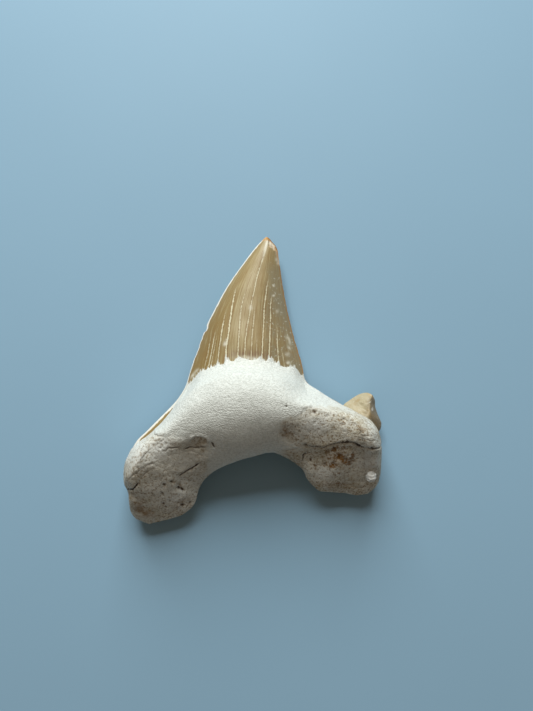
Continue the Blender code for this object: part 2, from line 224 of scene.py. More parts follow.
# Crown: a blade of tan enamel over a core of dentine, with a rounded inner face up and a nearly flat
# outer face down. It grew as one with the root. Long fine cracks run up it, filled with pale sediment,
# the left cutting edge is white, partly from wear and partly as a painted highlight, and a corner is
# broken off at the point.
POINT_Y = 39.7
CROWN_BULGE = 5.8
CROWN_BELLY = 2.9
EDGE_HEIGHT = 2.75
CROWN_MIDDLE_X = -2.5
CROWN_ROWS = 300
CROWN_COLUMNS = 118
# Cutting edges, from the foot to the point: (y, x)
LEFT_EDGE = (
    (-8.9, -28.9), (-7.9, -29.2), (-5.9, -28.3), (-3.7, -26.15), (-1.5, -24), (1.2, -21.35), (3.6, -19.3),
    (6.4, -17.75), (10.5, -16.6), (15.3, -14.95), (19.1, -13.65), (22.4, -12.1), (28.1, -9.1),
    (33.8, -5.2), (37.3, -2.55), (39.2, -0.8), (POINT_Y, -0.25),
)
RIGHT_EDGE = (
    (-8.9, 23.2), (-4.6, 23.5), (-2.5, 22.8), (-0.4, 21.1), (1.6, 17.4), (3.1, 14.8), (4.6, 11.9),
    (6.1, 9.75), (7.9, 8.4), (10.5, 7.95), (16.3, 6.3), (23.6, 4.55), (30, 3.45), (35.6, 2.65),
    (37.1, 2.4), (37.9, 1.95), (38.7, 1.2), (39.3, 0.75), (POINT_Y, 0.3),
)
CHIP_SPAN = (18.0, 18.5, 18.8, 20.0)
CHIP_DEPTH = 0.45
EDGE_CRUMBLE = 0.16
EDGE_CRUMBLE_SPAN = (6.0, 9.0, 17.0, 18.5)
RIGHT_ROUGHNESS = 0.07
CORNER_DEPTH = 0.30
SLIVER_DEPTH = 0.12
CRACK_SHARE = 0.8
# Shares of edge height, bulge and belly: (y, three shares)
CROWN_SECTION = (
    (-8.9, 1.15, 0.12, 0.5), (-4, 1.12, 0.45, 0.54), (1, 1.1, 0.8, 0.62), (8, 1.05, 0.97, 0.78),
    (14, 1, 1, 0.93), (20, 0.98, 0.87, 1), (25, 1.02, 0.72, 0.92), (30, 1.09, 0.55, 0.7),
    (35, 1.2, 0.34, 0.42), (38.4, 1.28, 0.17, 0.22), (POINT_Y, 1.32, 0.07, 0.1),
)
CROWN_FOOT_Y = -8.7
# Larger than any distance that a mask looks at
FAR_OFF = 9.0
RIDGE_SHARE = 0.46
BULGE_POWER = 2.15
BELLY_POWER = 2.7
# The root's neck laps over the enamel down to this line: y for each x
NECK_LINE = (
    (-21.5, 8.6), (-19.2, 7.2), (-17.3, 6.7), (-16, 7.7), (-14, 9.5), (-11.5, 10.5), (-6.1, 12),
    (-2, 11.9), (1.5, 11.3), (5.7, 10.3), (7.4, 9.1), (8.5, 8), (10, 8.1), (12.5, 9.4),
)
# The border itself, which is ragged: points from left to right
BORDER = (
    (-17.3, 6.6), (-16.6, 6.8), (-15.5, 8.1), (-14.45, 9.1), (-13.5, 9.5), (-12.85, 9.3), (-12.64, 10.3),
    (-12.2, 9.3), (-11.94, 10.4), (-11.5, 9.8), (-10.9, 10.1), (-10.46, 11.3), (-10, 10.3), (-9.4, 10.1),
    (-9.05, 10.3), (-8.9, 11.4), (-8.56, 12.3), (-8.2, 11.4), (-7.3, 10.9), (-6.87, 11), (-6.44, 11.6),
    (-5.86, 12.1), (-5.5, 11.8), (-4.8, 11.6), (-3.66, 11.3), (-2.3, 11.4), (-1.8, 11.8), (-1.1, 12.1),
    (-0.8, 11.7), (-0.32, 11.2), (0, 11.3), (0.3, 12), (0.6, 12.2), (1.07, 11.8), (1.9, 10.8), (2.25, 11),
    (2.5, 11.7), (2.8, 11), (3.05, 10.2), (3.76, 9.8), (4.4, 9.8), (4.8, 10.2), (5.8, 10.4), (6.4, 10.1),
    (7, 9.3), (7.6, 8.4), (8, 8.6), (8.5, 8),
)
# Tan of the enamel: (share of the way across, sRGB colour). It is mustard on the left, palest left of the
# ridge and brown beyond it. This is partly the enamel's own tan and partly painted light: a painted sheen
# left of the ridge and painted shade on the flanks.
TAN_SHEEN_AND_SHADE = (
    (0, 150, 126, 79), (0.16, 153, 128, 78), (0.3, 174, 157, 117), (0.44, 188, 171, 132),
    (0.6, 169, 148, 108), (0.75, 154, 134, 94), (1, 154, 134, 98),
)
FOOT_LIFT = 8.4
FOOT_LIFT_WIDTH = 14.0
FOOT_LIFT_END_Y = 4.0
ARCH_TOP_Y = 2.0
ARCH_DROP = 0.016
ARCH_LOWEST_Y = -5.2
ENAMEL_STEP = 0.3
ENAMEL_DIVE = 0.9
ENAMEL_DIVE_MOST = 1.2
# Cracks of the inner face, left to right: (how pale, how wide in mm, points from foot to top)
CRACKS = (
    (0.55, 0.15, ((-13.5, 8.6), (-12.6, 13), (-12, 17.5))),
    (0.85, 0.16, ((-12.4, 9.9), (-11.7, 13.9), (-11.06, 18.1))),
    (0.5, 0.12, ((-11.9, 10.4), (-11.1, 15.1), (-10.6, 17.6))),
    (0.9, 0.17, ((-10.4, 10.8), (-9.9, 15.7), (-9.36, 19.9), (-8.96, 22.4))),
    (1, 0.21, ((-8.6, 11.5), (-8.5, 14.7), (-8, 17.8), (-7.8, 20.4), (-7.3, 24.7), (-6.77, 28))),
    (0.35, 0.12, ((-7.1, 11.5), (-7.1, 15.7))),
    (0.85, 0.16, ((-6.1, 12), (-5.84, 17.2), (-5.77, 20.1), (-5.36, 24.5), (-4.9, 27.3))),
    (0.8, 0.17, ((-4.6, 12.8), (-4.44, 16), (-4.12, 18.4), (-3.67, 20.8), (-3.35, 23.2), (-2.6, 26.7),
                  (-1.97, 30), (-1.26, 32.5), (-0.42, 35.4), (0.04, 38.4))),
    (0.7, 0.15, ((-3.2, 12.6), (-3.07, 16.5), (-2.75, 19.6), (-2.5, 23.3))),
    (0.45, 0.12, ((-2.1, 13.5), (-2, 17.5))),
    (0.9, 0.17, ((-1, 12.2), (-0.77, 17.3), (-0.6, 20.2), (-0.4, 23.9), (0.04, 27.4), (0.5, 29.7))),
    (0.9, 0.18, ((0.5, 12), (0.75, 17.4), (0.87, 21.1), (0.87, 23.8), (1.25, 26.1))),
    (0.85, 0.17, ((2.6, 11.6), (2.4, 15.1), (2.42, 19.3))),
    (0.6, 0.14, ((3.6, 11.6), (3.1, 14.4))),
)
# Worn and crumbly white spots, and at (2.4, 34.6) a painted highlight on the right edge: (x, y, half
# length, half width, turn in degrees, strength)
WORN_SPOTS = (
    (-16.1, 8.5, 0.9, 0.35, 55, 0.8), (-15.3, 9.4, 0.7, 0.3, 40, 0.6), (1.6, 28.3, 0.28, 0.2, 0, 1),
    (1.5, 25.9, 0.26, 0.18, 0, 0.8), (4.9, 16.2, 0.9, 0.4, -60, 0.7), (5.1, 14.5, 0.5, 0.35, -50, 0.6),
    (4.5, 12.9, 0.5, 0.4, 0, 0.45), (4.8, 11.2, 0.35, 0.3, 0, 0.9), (-8.8, 15, 0.5, 0.35, 80, 0.9),
    (-8.4, 15.9, 0.25, 0.2, 0, 0.7), (-3.4, 22.9, 0.6, 0.4, 80, 0.6), (-3.6, 11.8, 2.3, 0.45, -4, 0.6),
    (2.4, 34.6, 0.5, 0.3, 80, 0.6), (2.4, 22.5, 0.5, 0.3, 60, 0.4),
)
# Cracks of the outer face, which is a guess
BACK_CRACKS = (
    (0.6, 0.15, ((-14, 4), (-12.6, 9), (-11.2, 15))),
    (0.8, 0.16, ((-11, 2), (-9.6, 9), (-8.6, 17))),
    (0.9, 0.18, ((-8.4, 1.6), (-7.4, 10), (-6.4, 20), (-5.5, 25))),
    (0.6, 0.14, ((-5.6, 2), (-5.2, 9), (-4.8, 14))),
    (0.95, 0.19, ((-3.1, 1.8), (-3, 10), (-2.2, 20), (-1, 31))),
    (0.6, 0.15, ((-0.8, 2.2), (-0.7, 9), (-0.3, 16))),
    (0.85, 0.17, ((1.8, 1.6), (1.6, 10), (1.4, 19), (1.3, 24))),
    (0.6, 0.14, ((5, 2.4), (4.2, 9), (3.6, 14))),
)


def through(knots, at):
    """Smooth curve through rows of (parameter, values...), which never swings past its rows.

    Each row's slope is the harmonic mean of the slopes beside it, or zero where they turn.
    """
    knots = np.asarray(knots, float)
    place, values = knots[:, 0], knots[:, 1:]
    rise = np.diff(values, axis=0) / np.diff(place)[:, None]
    before, after = rise[:-1], rise[1:]
    total = np.where(before * after > 0, before + after, 1.0)
    turn = np.where(before * after > 0, 2 * before * after / total, 0.0)
    slope = np.vstack([rise[:1], turn, rise[-1:]])
    at = np.asarray(at, float)
    first = np.clip(np.searchsorted(place, at) - 1, 0, len(place) - 2)
    span = (place[first + 1] - place[first])[..., None]
    t = np.clip((at - place[first])[..., None] / span, 0.0, 1.0)
    return (
        values[first] * (2 * t**3 - 3 * t**2 + 1)
        + values[first + 1] * (3 * t**2 - 2 * t**3)
        + slope[first] * span * (t**3 - 2 * t**2 + t)
        + slope[first + 1] * span * (t**3 - t**2)
    )


def ease(low, high, value):
    """Smooth step from 0 at low to 1 at high."""
    t = np.clip((value - low) / (high - low), 0.0, 1.0)
    return t * t * (3 - 2 * t)


def within(value, start, full, last, end):
    """1 from full to last, and smoothly down to 0 at start and at end."""
    return ease(start, full, value) * (1 - ease(last, end, value))


def soft_max(a, b, width):
    """The larger of two heights, rounded where they are closer than width."""
    near = np.clip(width - np.abs(a - b), 0.0, None) / width
    return np.maximum(a, b) + near * near * width / 4


def lumps(points, size, seed, octaves=3):
    """Irregular field of about -1 to 1 over points in mm, with lumps of a given size.

    Random values on a cubic lattice are blended with a quintic step between the lattice's
    points. Each further octave is half as large and half as strong, and slightly turned.
    """
    total = np.zeros(points.shape[:-1])
    turn = np.array([[0.80, 0.60, 0.0], [-0.48, 0.64, 0.60], [0.36, -0.48, 0.80]])
    spot = points / size
    for octave in range(octaves):
        lattice = np.random.default_rng(seed + octave).uniform(-1, 1, (32, 32, 32))
        cell = np.floor(spot).astype(int)
        t = spot - cell
        t = t * t * t * (t * (6 * t - 15) + 10)
        for corner in np.ndindex(2, 2, 2):
            weight = np.prod(np.where(corner, t, 1 - t), axis=-1)
            at = (cell + corner) % 32
            total += weight * lattice[at[..., 0], at[..., 1], at[..., 2]] / 2**octave
        spot = spot @ turn.T * 2.03
    return total


def bells(points, rows):
    """Bell curve of each oval spot, times its strength: 1 in its middle, 0 far from it."""
    for x, y, length, width, turn, strength in rows:
        angle = math.radians(turn)
        dx, dy = points[..., 0] - x, points[..., 1] - y
        along = (dx * math.cos(angle) + dy * math.sin(angle)) / length
        aside = (dy * math.cos(angle) - dx * math.sin(angle)) / width
        yield strength * np.exp(-(along**2 + aside**2))


def spots(points, rows):
    """Strongest of some oval spots at each place."""
    return np.maximum.reduce(list(bells(points, rows)))


def outward(grid):
    """Unit normals of a grid of points whose columns close in a ring."""
    along = np.gradient(grid, axis=0)
    around = np.roll(grid, -1, axis=1) - np.roll(grid, 1, axis=1)
    normal = np.cross(around, along)
    length = np.linalg.norm(normal, axis=-1, keepdims=True)
    return normal / np.maximum(length, 1e-12)


def grid_piece(name, grid, fields, material):
    """Closed object from rings of points in mm, and a point attribute for each field.

    Points that fall together, as at a pole or along a fold, are merged into one.
    """
    rows, columns = grid.shape[:2]
    points = grid.reshape(-1, 3).copy()
    points[:, 2] = np.maximum(points[:, 2], 0.0)
    points[:, :2] -= SKETCH_MIDDLE
    row, column = np.meshgrid(np.arange(rows - 1), np.arange(columns), indexing="ij")
    beside = (column + 1) % columns
    quads = np.stack([row * columns + column, row * columns + beside,
                      (row + 1) * columns + beside, (row + 1) * columns + column], axis=-1)
    mesh = bpy.data.meshes.new(name)
    mesh.from_pydata((points * MM).tolist(), [], quads.reshape(-1, 4).tolist())
    for title, values in fields.items():
        layer = mesh.attributes.new(title, "FLOAT", "POINT")
        layer.data.foreach_set("value", np.ascontiguousarray(values, dtype=np.float32).ravel())
    merged = bmesh.new()
    merged.from_mesh(mesh)
    bmesh.ops.remove_doubles(merged, verts=merged.verts, dist=1e-7)
    bmesh.ops.recalc_face_normals(merged, faces=merged.faces)
    merged.to_mesh(mesh)
    merged.free()
    mesh.shade_smooth()
    mesh.materials.append(material)
    made = bpy.data.objects.new(name, mesh)
    bpy.context.scene.collection.objects.link(made)
    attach(made, "root")
    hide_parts("tooth")
    return made


def off_ridge(share, ridge):
    """How far a share of the way across lies from the ridge: 0 on it, 1 on an edge."""
    return np.where(share < ridge, (ridge - share) / ridge, (share - ridge) / (1 - ridge))


def edges(y):
    """The x of the left and of the right cutting edge, without their wear."""
    return [through(edge, y)[..., 0] for edge in (LEFT_EDGE, RIGHT_EDGE)]


def crown_section(x, y):
    """Section shares at y, how far x lies from the ridge, with 1 on an edge, and the width."""
    left, right = edges(y)
    across = off_ridge((x - left) / (right - left), RIDGE_SHARE)
    return through(CROWN_SECTION, y), across, right - left


def crown_front(x, y):
    """Height of the inner face: edge height plus bulge times (1 - across to a power).

    Outside the crown's outline it falls away as steeply as it is far from it.
    """
    section, across, width = crown_section(x, y)
    bulge = CROWN_BULGE * section[..., 1] * (1 - np.minimum(across, 1.0) ** BULGE_POWER)
    outside = np.clip(across - 1.0, 0.0, None) * width + np.clip(CROWN_FOOT_Y - y, 0.0, None)
    return EDGE_HEIGHT * section[..., 0] + bulge - outside


def crown_back(x, y):
    """Height of the outer face: edge height less belly times (1 - across to a power)."""
    section, across, _ = crown_section(x, y)
    belly = CROWN_BELLY * section[..., 2] * (1 - np.minimum(across, 1.0) ** BELLY_POWER)
    return EDGE_HEIGHT * section[..., 0] - belly


def past_arch(x, y):
    """How far a place lies beyond the arch that ends the outer face's enamel."""
    arch = ARCH_TOP_Y - ARCH_DROP * (x - CROWN_MIDDLE_X) ** 2
    return np.maximum(arch, ARCH_LOWEST_Y) - y


def neck_border(x, y):
    """The border's y where it crosses the enamel, with a fine fringe, and the neck line's elsewhere."""
    line = through(NECK_LINE, x)[..., 0]
    across = (x > BORDER[0][0]) & (x < BORDER[-1][0])
    ragged = np.interp(x, *np.transpose(BORDER))
    fringe = 0.16 * lumps(np.stack([x, 0.25 * y, 0 * x], axis=-1), 0.5, 23, 2)
    return np.where(across, ragged + fringe, line)


def crack_fields(cracks, share, y, width):
    """Phase, half width and paleness of the nearest crack at each place.

    The phase is a whole number on each crack and grows evenly from one to the next.
    """
    lines = []
    for _, _, points in cracks:
        knots = np.array(points)
        left, right = edges(knots[:, 1])
        lines.append(np.interp(y, knots[:, 1], (knots[:, 0] - left) / (right - left)))
    lines = np.array([np.zeros_like(y), *lines, np.ones_like(y)])
    for i in range(1, len(lines) - 1):
        lines[i] = np.maximum(lines[i], lines[i - 1] + 0.012)
    phase = np.zeros_like(y)
    for low, high in zip(lines, lines[1:]):
        phase += np.clip((share - low) / np.maximum(high - low, 0.005), 0.0, 1.0)
    nearest = np.clip(np.rint(phase).astype(int), 1, len(cracks))
    facts = np.array([(pale, half, points[0][1], points[-1][1]) for pale, half, points in cracks])
    pale, half, foot, top = np.moveaxis(facts[nearest - 1], -1, 0)
    beyond, before = (np.take_along_axis(lines, (nearest + step)[None], 0)[0] for step in (1, -1))
    spacing = np.maximum((beyond - before) * width / 2, 0.05)
    fade = within(y, foot - 3.0, foot - 1.0, top - 3.5, top + 1.0)
    return phase, CRACK_SHARE * half / spacing, pale * fade


def ring_shares(columns):
    """Shares of the way across for a ring that runs over and back, and which are on the front."""
    turn = np.linspace(0.0, math.pi, columns + 1)
    share = (1 - np.cos(np.concatenate([turn, turn[-2:0:-1]]))) / 2
    return share, np.arange(2 * columns) <= columns


def worn_edges(y, left, right):
    """Cutting edges with their waviness, crumbling and chip."""
    at_left, at_right = (np.concatenate([x, y, 0 * y], axis=1)[:, None] for x in (left, right))
    crumbs = np.clip(lumps(at_left, 1.3, 12), 0.0, 1.0)
    wear = 0.012 * lumps(at_left, 0.9, 11) * within(y, 2.0, 8.0, 36.0, 39.0)
    wear += EDGE_CRUMBLE * crumbs * within(y, *EDGE_CRUMBLE_SPAN)
    rough = RIGHT_ROUGHNESS * lumps(at_right, 1.1, 14) * ease(9.0, 12.0, y)
    chip = CHIP_DEPTH * within(y, *CHIP_SPAN)
    return left + chip + np.clip(wear, -0.04, None), right - np.clip(rough, -0.03, None)


def crown():
    """Rings across the crown. A ring runs over the inner face and back over the outer one.

    The foot's ring closes onto the line midway between its faces, and the last one to a point.
    """
    across, front = ring_shares(CROWN_COLUMNS)
    y = np.linspace(CROWN_FOOT_Y, POINT_Y, CROWN_ROWS)[:, None]
    sound_left, sound_right = edges(y)
    left, right = worn_edges(y, sound_left, sound_right)
    x = left + (right - left) * across
    middle = np.sin(math.pi * across)
    low = 1 - ease(CROWN_FOOT_Y, FOOT_LIFT_END_Y, y)
    lift = FOOT_LIFT * np.exp(-(((x - CROWN_MIDDLE_X) / FOOT_LIFT_WIDTH) ** 2))
    row = y + low * lift * middle
    top, bottom = crown_front(x, row), crown_back(x, row)
    sunk = np.minimum(ENAMEL_DIVE * np.clip(past_arch(x, row), 0.0, None), ENAMEL_DIVE_MOST)
    height = np.where(front, top, np.minimum(bottom + sunk, (top + bottom) / 2))
    grid = np.stack([x, row, height], axis=-1)

    # Broken corner to the right of the point, a narrow strip cut along the right edge below it, which is
    # painted pale as a painted highlight, and gentle unevenness
    rough = lumps(grid, 0.8, 18, 2)
    corner = ease(-0.15, 0.3, x - 0.45 + 0.2 * rough) * front
    corner *= ease(37.0, 37.6, row + 0.3 * x + 0.3 * rough)
    sliver = (1 - ease(0.35, 0.75, right - x + 0.15 * rough)) * ease(33.0, 34.0, row)
    sliver *= (1 - corner) * front
    grid[..., 2] -= corner * (CORNER_DEPTH + 0.14 * lumps(grid, 0.7, 15)) + SLIVER_DEPTH * sliver
    grid[..., 2] += np.where(front, 1, -1) * middle * 0.05 * lumps(grid, 3.5, 16, 2)

    ridge_x = np.interp(row, (33.0, 38.9), (-1.1, 0.25))
    streak = np.exp(-(((x - ridge_x) / 0.27) ** 2)) * within(row, 33.0, 38.0, 38.7, 39.1)
    worn = np.maximum(streak, spots(grid + 0.2 * rough[..., None], WORN_SPOTS))
    share = np.clip((x - sound_left) / (sound_right - sound_left), 0.0, 1.0)
    widened = 0.65 + 0.35 * ease(1.0, 4.0, y) + 0.9 * within(y, 3.0, 8.0, 17.0, 19.0)
    beside_neck = (1 - ease(-18.6, -17.4, x)) * (1 - ease(0.6, 1.8, row)) + ease(8.6, 9.6, x)
    off_line = row - through(NECK_LINE, np.clip(x, -16.0, 8.0))[..., 0]
    purple = np.exp(-((off_line - 0.6) ** 2)) * within(x, -9.5, -7.5, -1.0, 2.5)
    # grey: where a painted reflection of the blue floor greys the right side's tan
    grey = ease(0.60, 0.78, share + 0.05 * lumps(grid, 2.5, 17)) * (1 - ease(29.0, 36.0, row))
    fields = {
        "across": share,
        "from_left": (x - left) * widened,
        "from_right": right - x,
        # corner: the broken corner, and the strip below it as a painted highlight
        "corner": np.maximum(corner, 0.8 * sliver),
        "streak": worn * front,
        "above": np.where(front, row - neck_border(x, row), FAR_OFF) + 20 * beside_neck,
        "purple": purple * front,
        "grey": grey * front,
    }
    faces = (crack_fields(cracks, share, row, right - left + 0 * x) for cracks in (CRACKS, BACK_CRACKS))
    for title, inner, outer in zip(("crack_phase", "crack_half", "crack_pale"), *faces):
        fields[title] = np.where(front, inner, outer)
    fold = -np.arange(len(across)) % len(across)
    foot = (grid[0] + grid[0][fold]) / 2
    point = np.broadcast_to(grid[-1].mean(axis=0) + (0, 0.12, 0), foot.shape)
    return np.concatenate([foot[None], grid, point[None]]), capped(fields)


def capped(fields):
    """Fields with their first and last rows doubled, for the rings that close a piece."""
    return {title: np.concatenate([v[:1], v, v[-1:]]) for title, v in fields.items()}


def mineral_group():
    """Node group of what every part of the fossil has: cloudy patches and fine mineral specks."""
    group = bpy.data.node_groups.new("mineral", "ShaderNodeTree")
    group.interface.new_socket("Position", in_out="INPUT", socket_type="NodeSocketVector")
    for title in ("Patch size", "Grain size"):
        group.interface.new_socket(title, in_out="INPUT", socket_type="NodeSocketFloat")
    for title in ("Patches", "Grain", "Specks"):
        group.interface.new_socket(title, in_out="OUTPUT", socket_type="NodeSocketFloat")
    given = group.nodes.new("NodeGroupInput")
    result = group.nodes.new("NodeGroupOutput")
    for title, size, scale, detail, rough in (
        ("Patches", "Patch size", 1.0, 5.0, 0.6), ("Grain", "Grain size", 1.0, 3.0, 0.6),
        ("Specks", "Grain size", 0.7, 1.0, 0.5),
    ):
        inputs = {0: scale, 1: given.outputs[size]}
        scale = add_node(group, "Math", inputs, operation="DIVIDE").outputs[0]
        inputs = {"Vector": given.outputs["Position"], "Scale": scale, "Detail": detail,
                  "Roughness": rough}
        value = Value(add_node(group, "TexNoise", inputs), "Fac")
        plug(result, {title: value.step(0.62, 0.72) if title == "Specks" else value})
    return group


MINERAL = mineral_group()


def mineral(paint, patch, grain):
    """Patches, grain and specks over a piece, for sizes in mm."""
    made = add_node(paint.tree, "Group", node_tree=MINERAL)
    plug(made, {"Position": paint.place, "Patch size": patch * MM, "Grain size": grain * MM})
    return [Value(made, title) for title in ("Patches", "Grain", "Specks")]


def enamel_material():
    """Satin tan enamel with painted sheen and shade across it: streaks along the cracks, pale fillings,
    edges that are partly worn and partly painted highlights, and stains.
    """
    paint = Paint("enamel")
    patches, grain, specks = mineral(paint, 4.0, 0.35)
    phase, across, grey, crack_pale, corner = (
        paint.field(title) for title in ("crack_phase", "across", "grey", "crack_pale", "corner"))
    height = Value(add_node(paint.tree, "SeparateXYZ", {"Vector": paint.place}), "Y")
    point_y = (POINT_Y - SKETCH_MIDDLE[1]) * MM
    fibres = paint.noise(3.0, 6.0, 0.62, paint.plane(phase * 2.6, height * 55.0))

    # Tan across the face, with a painted sheen left of the ridge and painted shade on the flanks, paler
    # towards the point, with brown and pale fibres
    shades = add_node(paint.tree, "ValToRGB", {"Fac": (patches - 0.5) * 0.16 + across})
    while len(shades.color_ramp.elements) < len(TAN_SHEEN_AND_SHADE):
        shades.color_ramp.elements.new(0.5)
    for stop, (spot, *color) in zip(shades.color_ramp.elements, TAN_SHEEN_AND_SHADE):
        stop.position = spot
        stop.color = rgba(*color)
    paint.color = shades.outputs["Color"]
    paint.over(height.step(point_y - 0.022, point_y - 0.006) * 0.45, 186, 166, 122)
    paint.over(fibres.step(0.44, 0.66, 0.8), 150, 119, 74)
    paint.over(fibres.step(0.48, 0.30, 0.6), 208, 192, 152)

    # Grey on the right side, a painted reflection of the blue floor in its shade, with pale specks, and a
    # purple stain along the border
    paint.over(grey * patches.step(0.25, 0.65) * 0.75, 150, 141, 118)
    paint.over(grey * specks * 0.6, 214, 210, 192)
    paint.over(paint.field("purple") * fibres.step(0.30, 0.62) * 0.75, 132, 104, 92)

    # Pale sediment in the cracks, beaded along their length, between browner sides
    wobble = paint.noise(1300.0, at=paint.stretched(1.0, 0.45, 1.0))
    ratio = ((wobble - 0.5) * 0.10 + phase).to("PINGPONG", 0.5) / paint.field("crack_half")
    beads = (paint.noise(2100.0) * 3.2 - 0.75).to("MAXIMUM", 0.15)
    pale = (ratio / beads).step(1.3, 0.55) * crack_pale
    paint.over(ratio.step(4.5, 1.2, 0.45) * crack_pale, 140, 106, 62)
    paint.over(pale, 232, 224, 192)

    # Edges, white on the left, partly worn and partly a painted highlight where the edge catches the
    # light, and rusty on the right; white spots, one of them a painted highlight on the right edge; and
    # filler at the border
    ragged = (wobble - 0.5) * 0.5 + paint.field("from_left")
    film = paint.noise(2600.0, at=paint.stretched(1.0, 0.3, 1.0)) * -2.6 + paint.field("above") + 1.3
    paint.over(ragged.step(0.44, 0.28), 246, 242, 232)
    paint.over(paint.field("from_right").step(0.40, 0.12, 0.8), 176, 128, 66)
    paint.over(paint.field("streak") * 0.95, 240, 234, 216)
    paint.over(film.step(0.35, 0.05, 0.9), 232, 231, 222)

    # Broken corner, pale with rust, the strip below it painted pale as a painted highlight, and the amber
    # point
    paint.over(corner * 0.9, 232, 216, 192)
    paint.over(height.step(point_y - 0.0013, point_y - 0.0005, 0.85), 206, 150, 74)
    paint.over(corner * wobble.step(0.48, 0.60) * 0.7, 196, 138, 66)
    rise = pale * -0.6 + fibres * 0.5 + grain * 0.25
    return paint.finish(pale * 0.3 + (grain * 0.22 + 0.32), 0.38, rise, 0.06)


ENAMEL = enamel_material()
blade = grid_piece("crown", *crown(), ENAMEL)


# Root: swollen, forked bone turned to stone, porous and cracked, on which the crown grew. Its
# neck is made up with white sandy filler that laps over the enamel's foot in a ragged line.
ROOT_HEIGHT = 17.6
ROOT_ROWS = 430
UPPER_STEPS = 78
LOWER_STEPS = 34
# Rims of the root, from the left lobe's end to the right one's: (station, x, y, height)
OUTER_RIM = (
    (0, -25.1, -23.3, 3.6), (1, -28, -21.95, 3.7), (2, -29.1, -19.8, 3.8), (3, -29.25, -17.26, 4),
    (4, -29.96, -14.57, 4.4), (4.8, -30, -11.28, 4.8), (5.6, -28.7, -7.7, 5), (6.4, -25.05, -4.5, 5.3),
    (7.2, -21.75, -1.3, 5.2), (8.1, -18.85, 2.9, 5), (9.1, -16.9, 7.2, 4), (10.3, -12.7, 12.4, 4),
    (12, -4.6, 14.6, 4), (13, 2.4, 13.4, 4), (14, 6.9, 10.2, 4), (15, 8.7, 7.1, 4.6),
    (16, 11.6, 4.8, 5.2), (17, 15.2, 2.5, 5.7), (18, 18.8, 0.6, 6), (19, 22.2, -1.7, 6.2),
    (20, 23.98, -4.92, 5.6), (21, 24.4, -8.9, 4.8), (22, 24.3, -12.6, 4.3), (23, 23.5, -15.2, 4),
    (24, 21.7, -16.9, 3.8),
)
INNER_RIM = (
    (0, -25.1, -23.3, 3.6), (1, -21.1, -22.5, 3.6), (2, -17.5, -21.1, 3.8), (3, -15.25, -18.7, 4.3),
    (4, -14.42, -15.73, 5.2), (5, -12.97, -13.47, 6.2), (6, -10.73, -11.73, 7.1), (7, -8.2, -10.5, 7.9),
    (8, -6, -9.7, 8.2), (9, -4.2, -9.15, 8.4), (10, -2.7, -8.75, 8.5), (11, -1.3, -8.35, 8.5),
    (12, 0.1, -8, 8.4), (13, 1.5, -7.95, 8), (14, 2.9, -8.35, 7.6), (15, 4.4, -9.2, 7.2),
    (16, 6, -10.3, 6.8), (17, 7.6, -11.7, 6.4), (18, 8.4, -13.35, 6), (19, 9.8, -15.1, 5.2),
    (20, 12, -16.5, 4.4), (21, 14.72, -16.64, 4), (22, 17.17, -16.77, 3.8), (23, 19.5, -17.1, 3.8),
    (24, 21.7, -16.9, 3.8),
)
# Crest between the rims: (station, x, y, share of the root's height)
CREST = (
    (0, -24.1, -8.2, 0.825), (3, -24.1, -8.2, 0.825), (4, -23.8, -7.8, 0.83), (5, -22.4, -6.6, 0.84),
    (6, -20.2, -5.1, 0.855), (7, -17.5, -3.2, 0.88), (8, -14.4, -1.3, 0.92), (9, -11, 0.3, 0.96),
    (10, -7.7, 1.6, 0.99), (11, -4.6, 2.4, 1), (12, -1.7, 2.7, 1), (13, 1.4, 2.2, 0.985),
    (14, 4.2, 1.6, 0.96), (15, 6.8, 1.2, 0.93), (16, 9.3, 0.8, 0.9), (17, 11.7, 0.3, 0.875),
    (18, 14, -0.4, 0.86), (19, 16, -1.4, 0.85), (20, 17.6, -2.6, 0.84), (21, 18.4, -3.3, 0.835),
    (24, 18.4, -3.3, 0.835),
)
# Sections: (station, height of the underside, powers of the upper outer, upper inner, lower
# outer and lower inner quarter, share of the neck's curve)
ROOT_FORM = (
    (0, -0.35, 1.1, 1.1, 2.6, 2.6, 0), (2, -0.35, 1.4, 1.1, 2.6, 2.6, 0),
    (4, -0.35, 1.8, 1.15, 2.4, 2.6, 0), (6, 0.3, 1.9, 1.25, 1.9, 2.5, 0), (8, 0.9, 1.9, 1.4, 1.8, 2.4, 0),
    (10, 1.3, 2, 1.5, 1.8, 2.3, 0.2), (11, 1.4, 2, 1.5, 1.8, 2.3, 0.3), (13, 1.4, 2, 1.5, 1.8, 2.3, 0.4),
    (14.5, 1.2, 1.9, 1.5, 1.8, 2.3, 0.7), (16, 0.9, 1.9, 1.45, 1.8, 2.4, 0.6),
    (18, 0.3, 2, 1.35, 2, 2.6, 0.2), (20, -0.35, 1.9, 1.2, 2.6, 2.6, 0),
    (22, -0.35, 1.5, 1.1, 2.6, 2.6, 0), (24, -0.35, 1.1, 1.1, 2.6, 2.6, 0),
)
COAT = 0.20
COAT_RISE = 0.7
COAT_DIVE = 1.1
NECK_RISE = 4.5
NECK_BLEND = 3.0
RIM_GAP = 0.15
RIM_GAP_REACH = 1.0
RELIEF_RISE = 3.0
CREST_SOFTNESS = 2.2
CREST_SOFTNESS_MOST = 0.6
# Dents, negative for swellings: (x, y, half length, half width, turn in degrees, depth)
DENTS = (
    (-14.6, -6.9, 4, 2, 8, 0.75), (4.6, -4.4, 2.6, 2.1, -50, 0.75), (9, -8.9, 3.2, 1.6, -20, 0.55),
    (-28.2, -16, 2.4, 1.2, -30, 0.6), (-25.6, -19.6, 2.4, 1.8, 40, 0.3), (21.6, -12.9, 2.3, 2.1, 0, 0.45),
    (-18.6, -11.6, 4, 2.6, -35, -0.35), (13.2, -2.2, 4.4, 2.2, -28, -0.35),
    (19.4, -3.6, 2.6, 2, -45, -0.45),
)
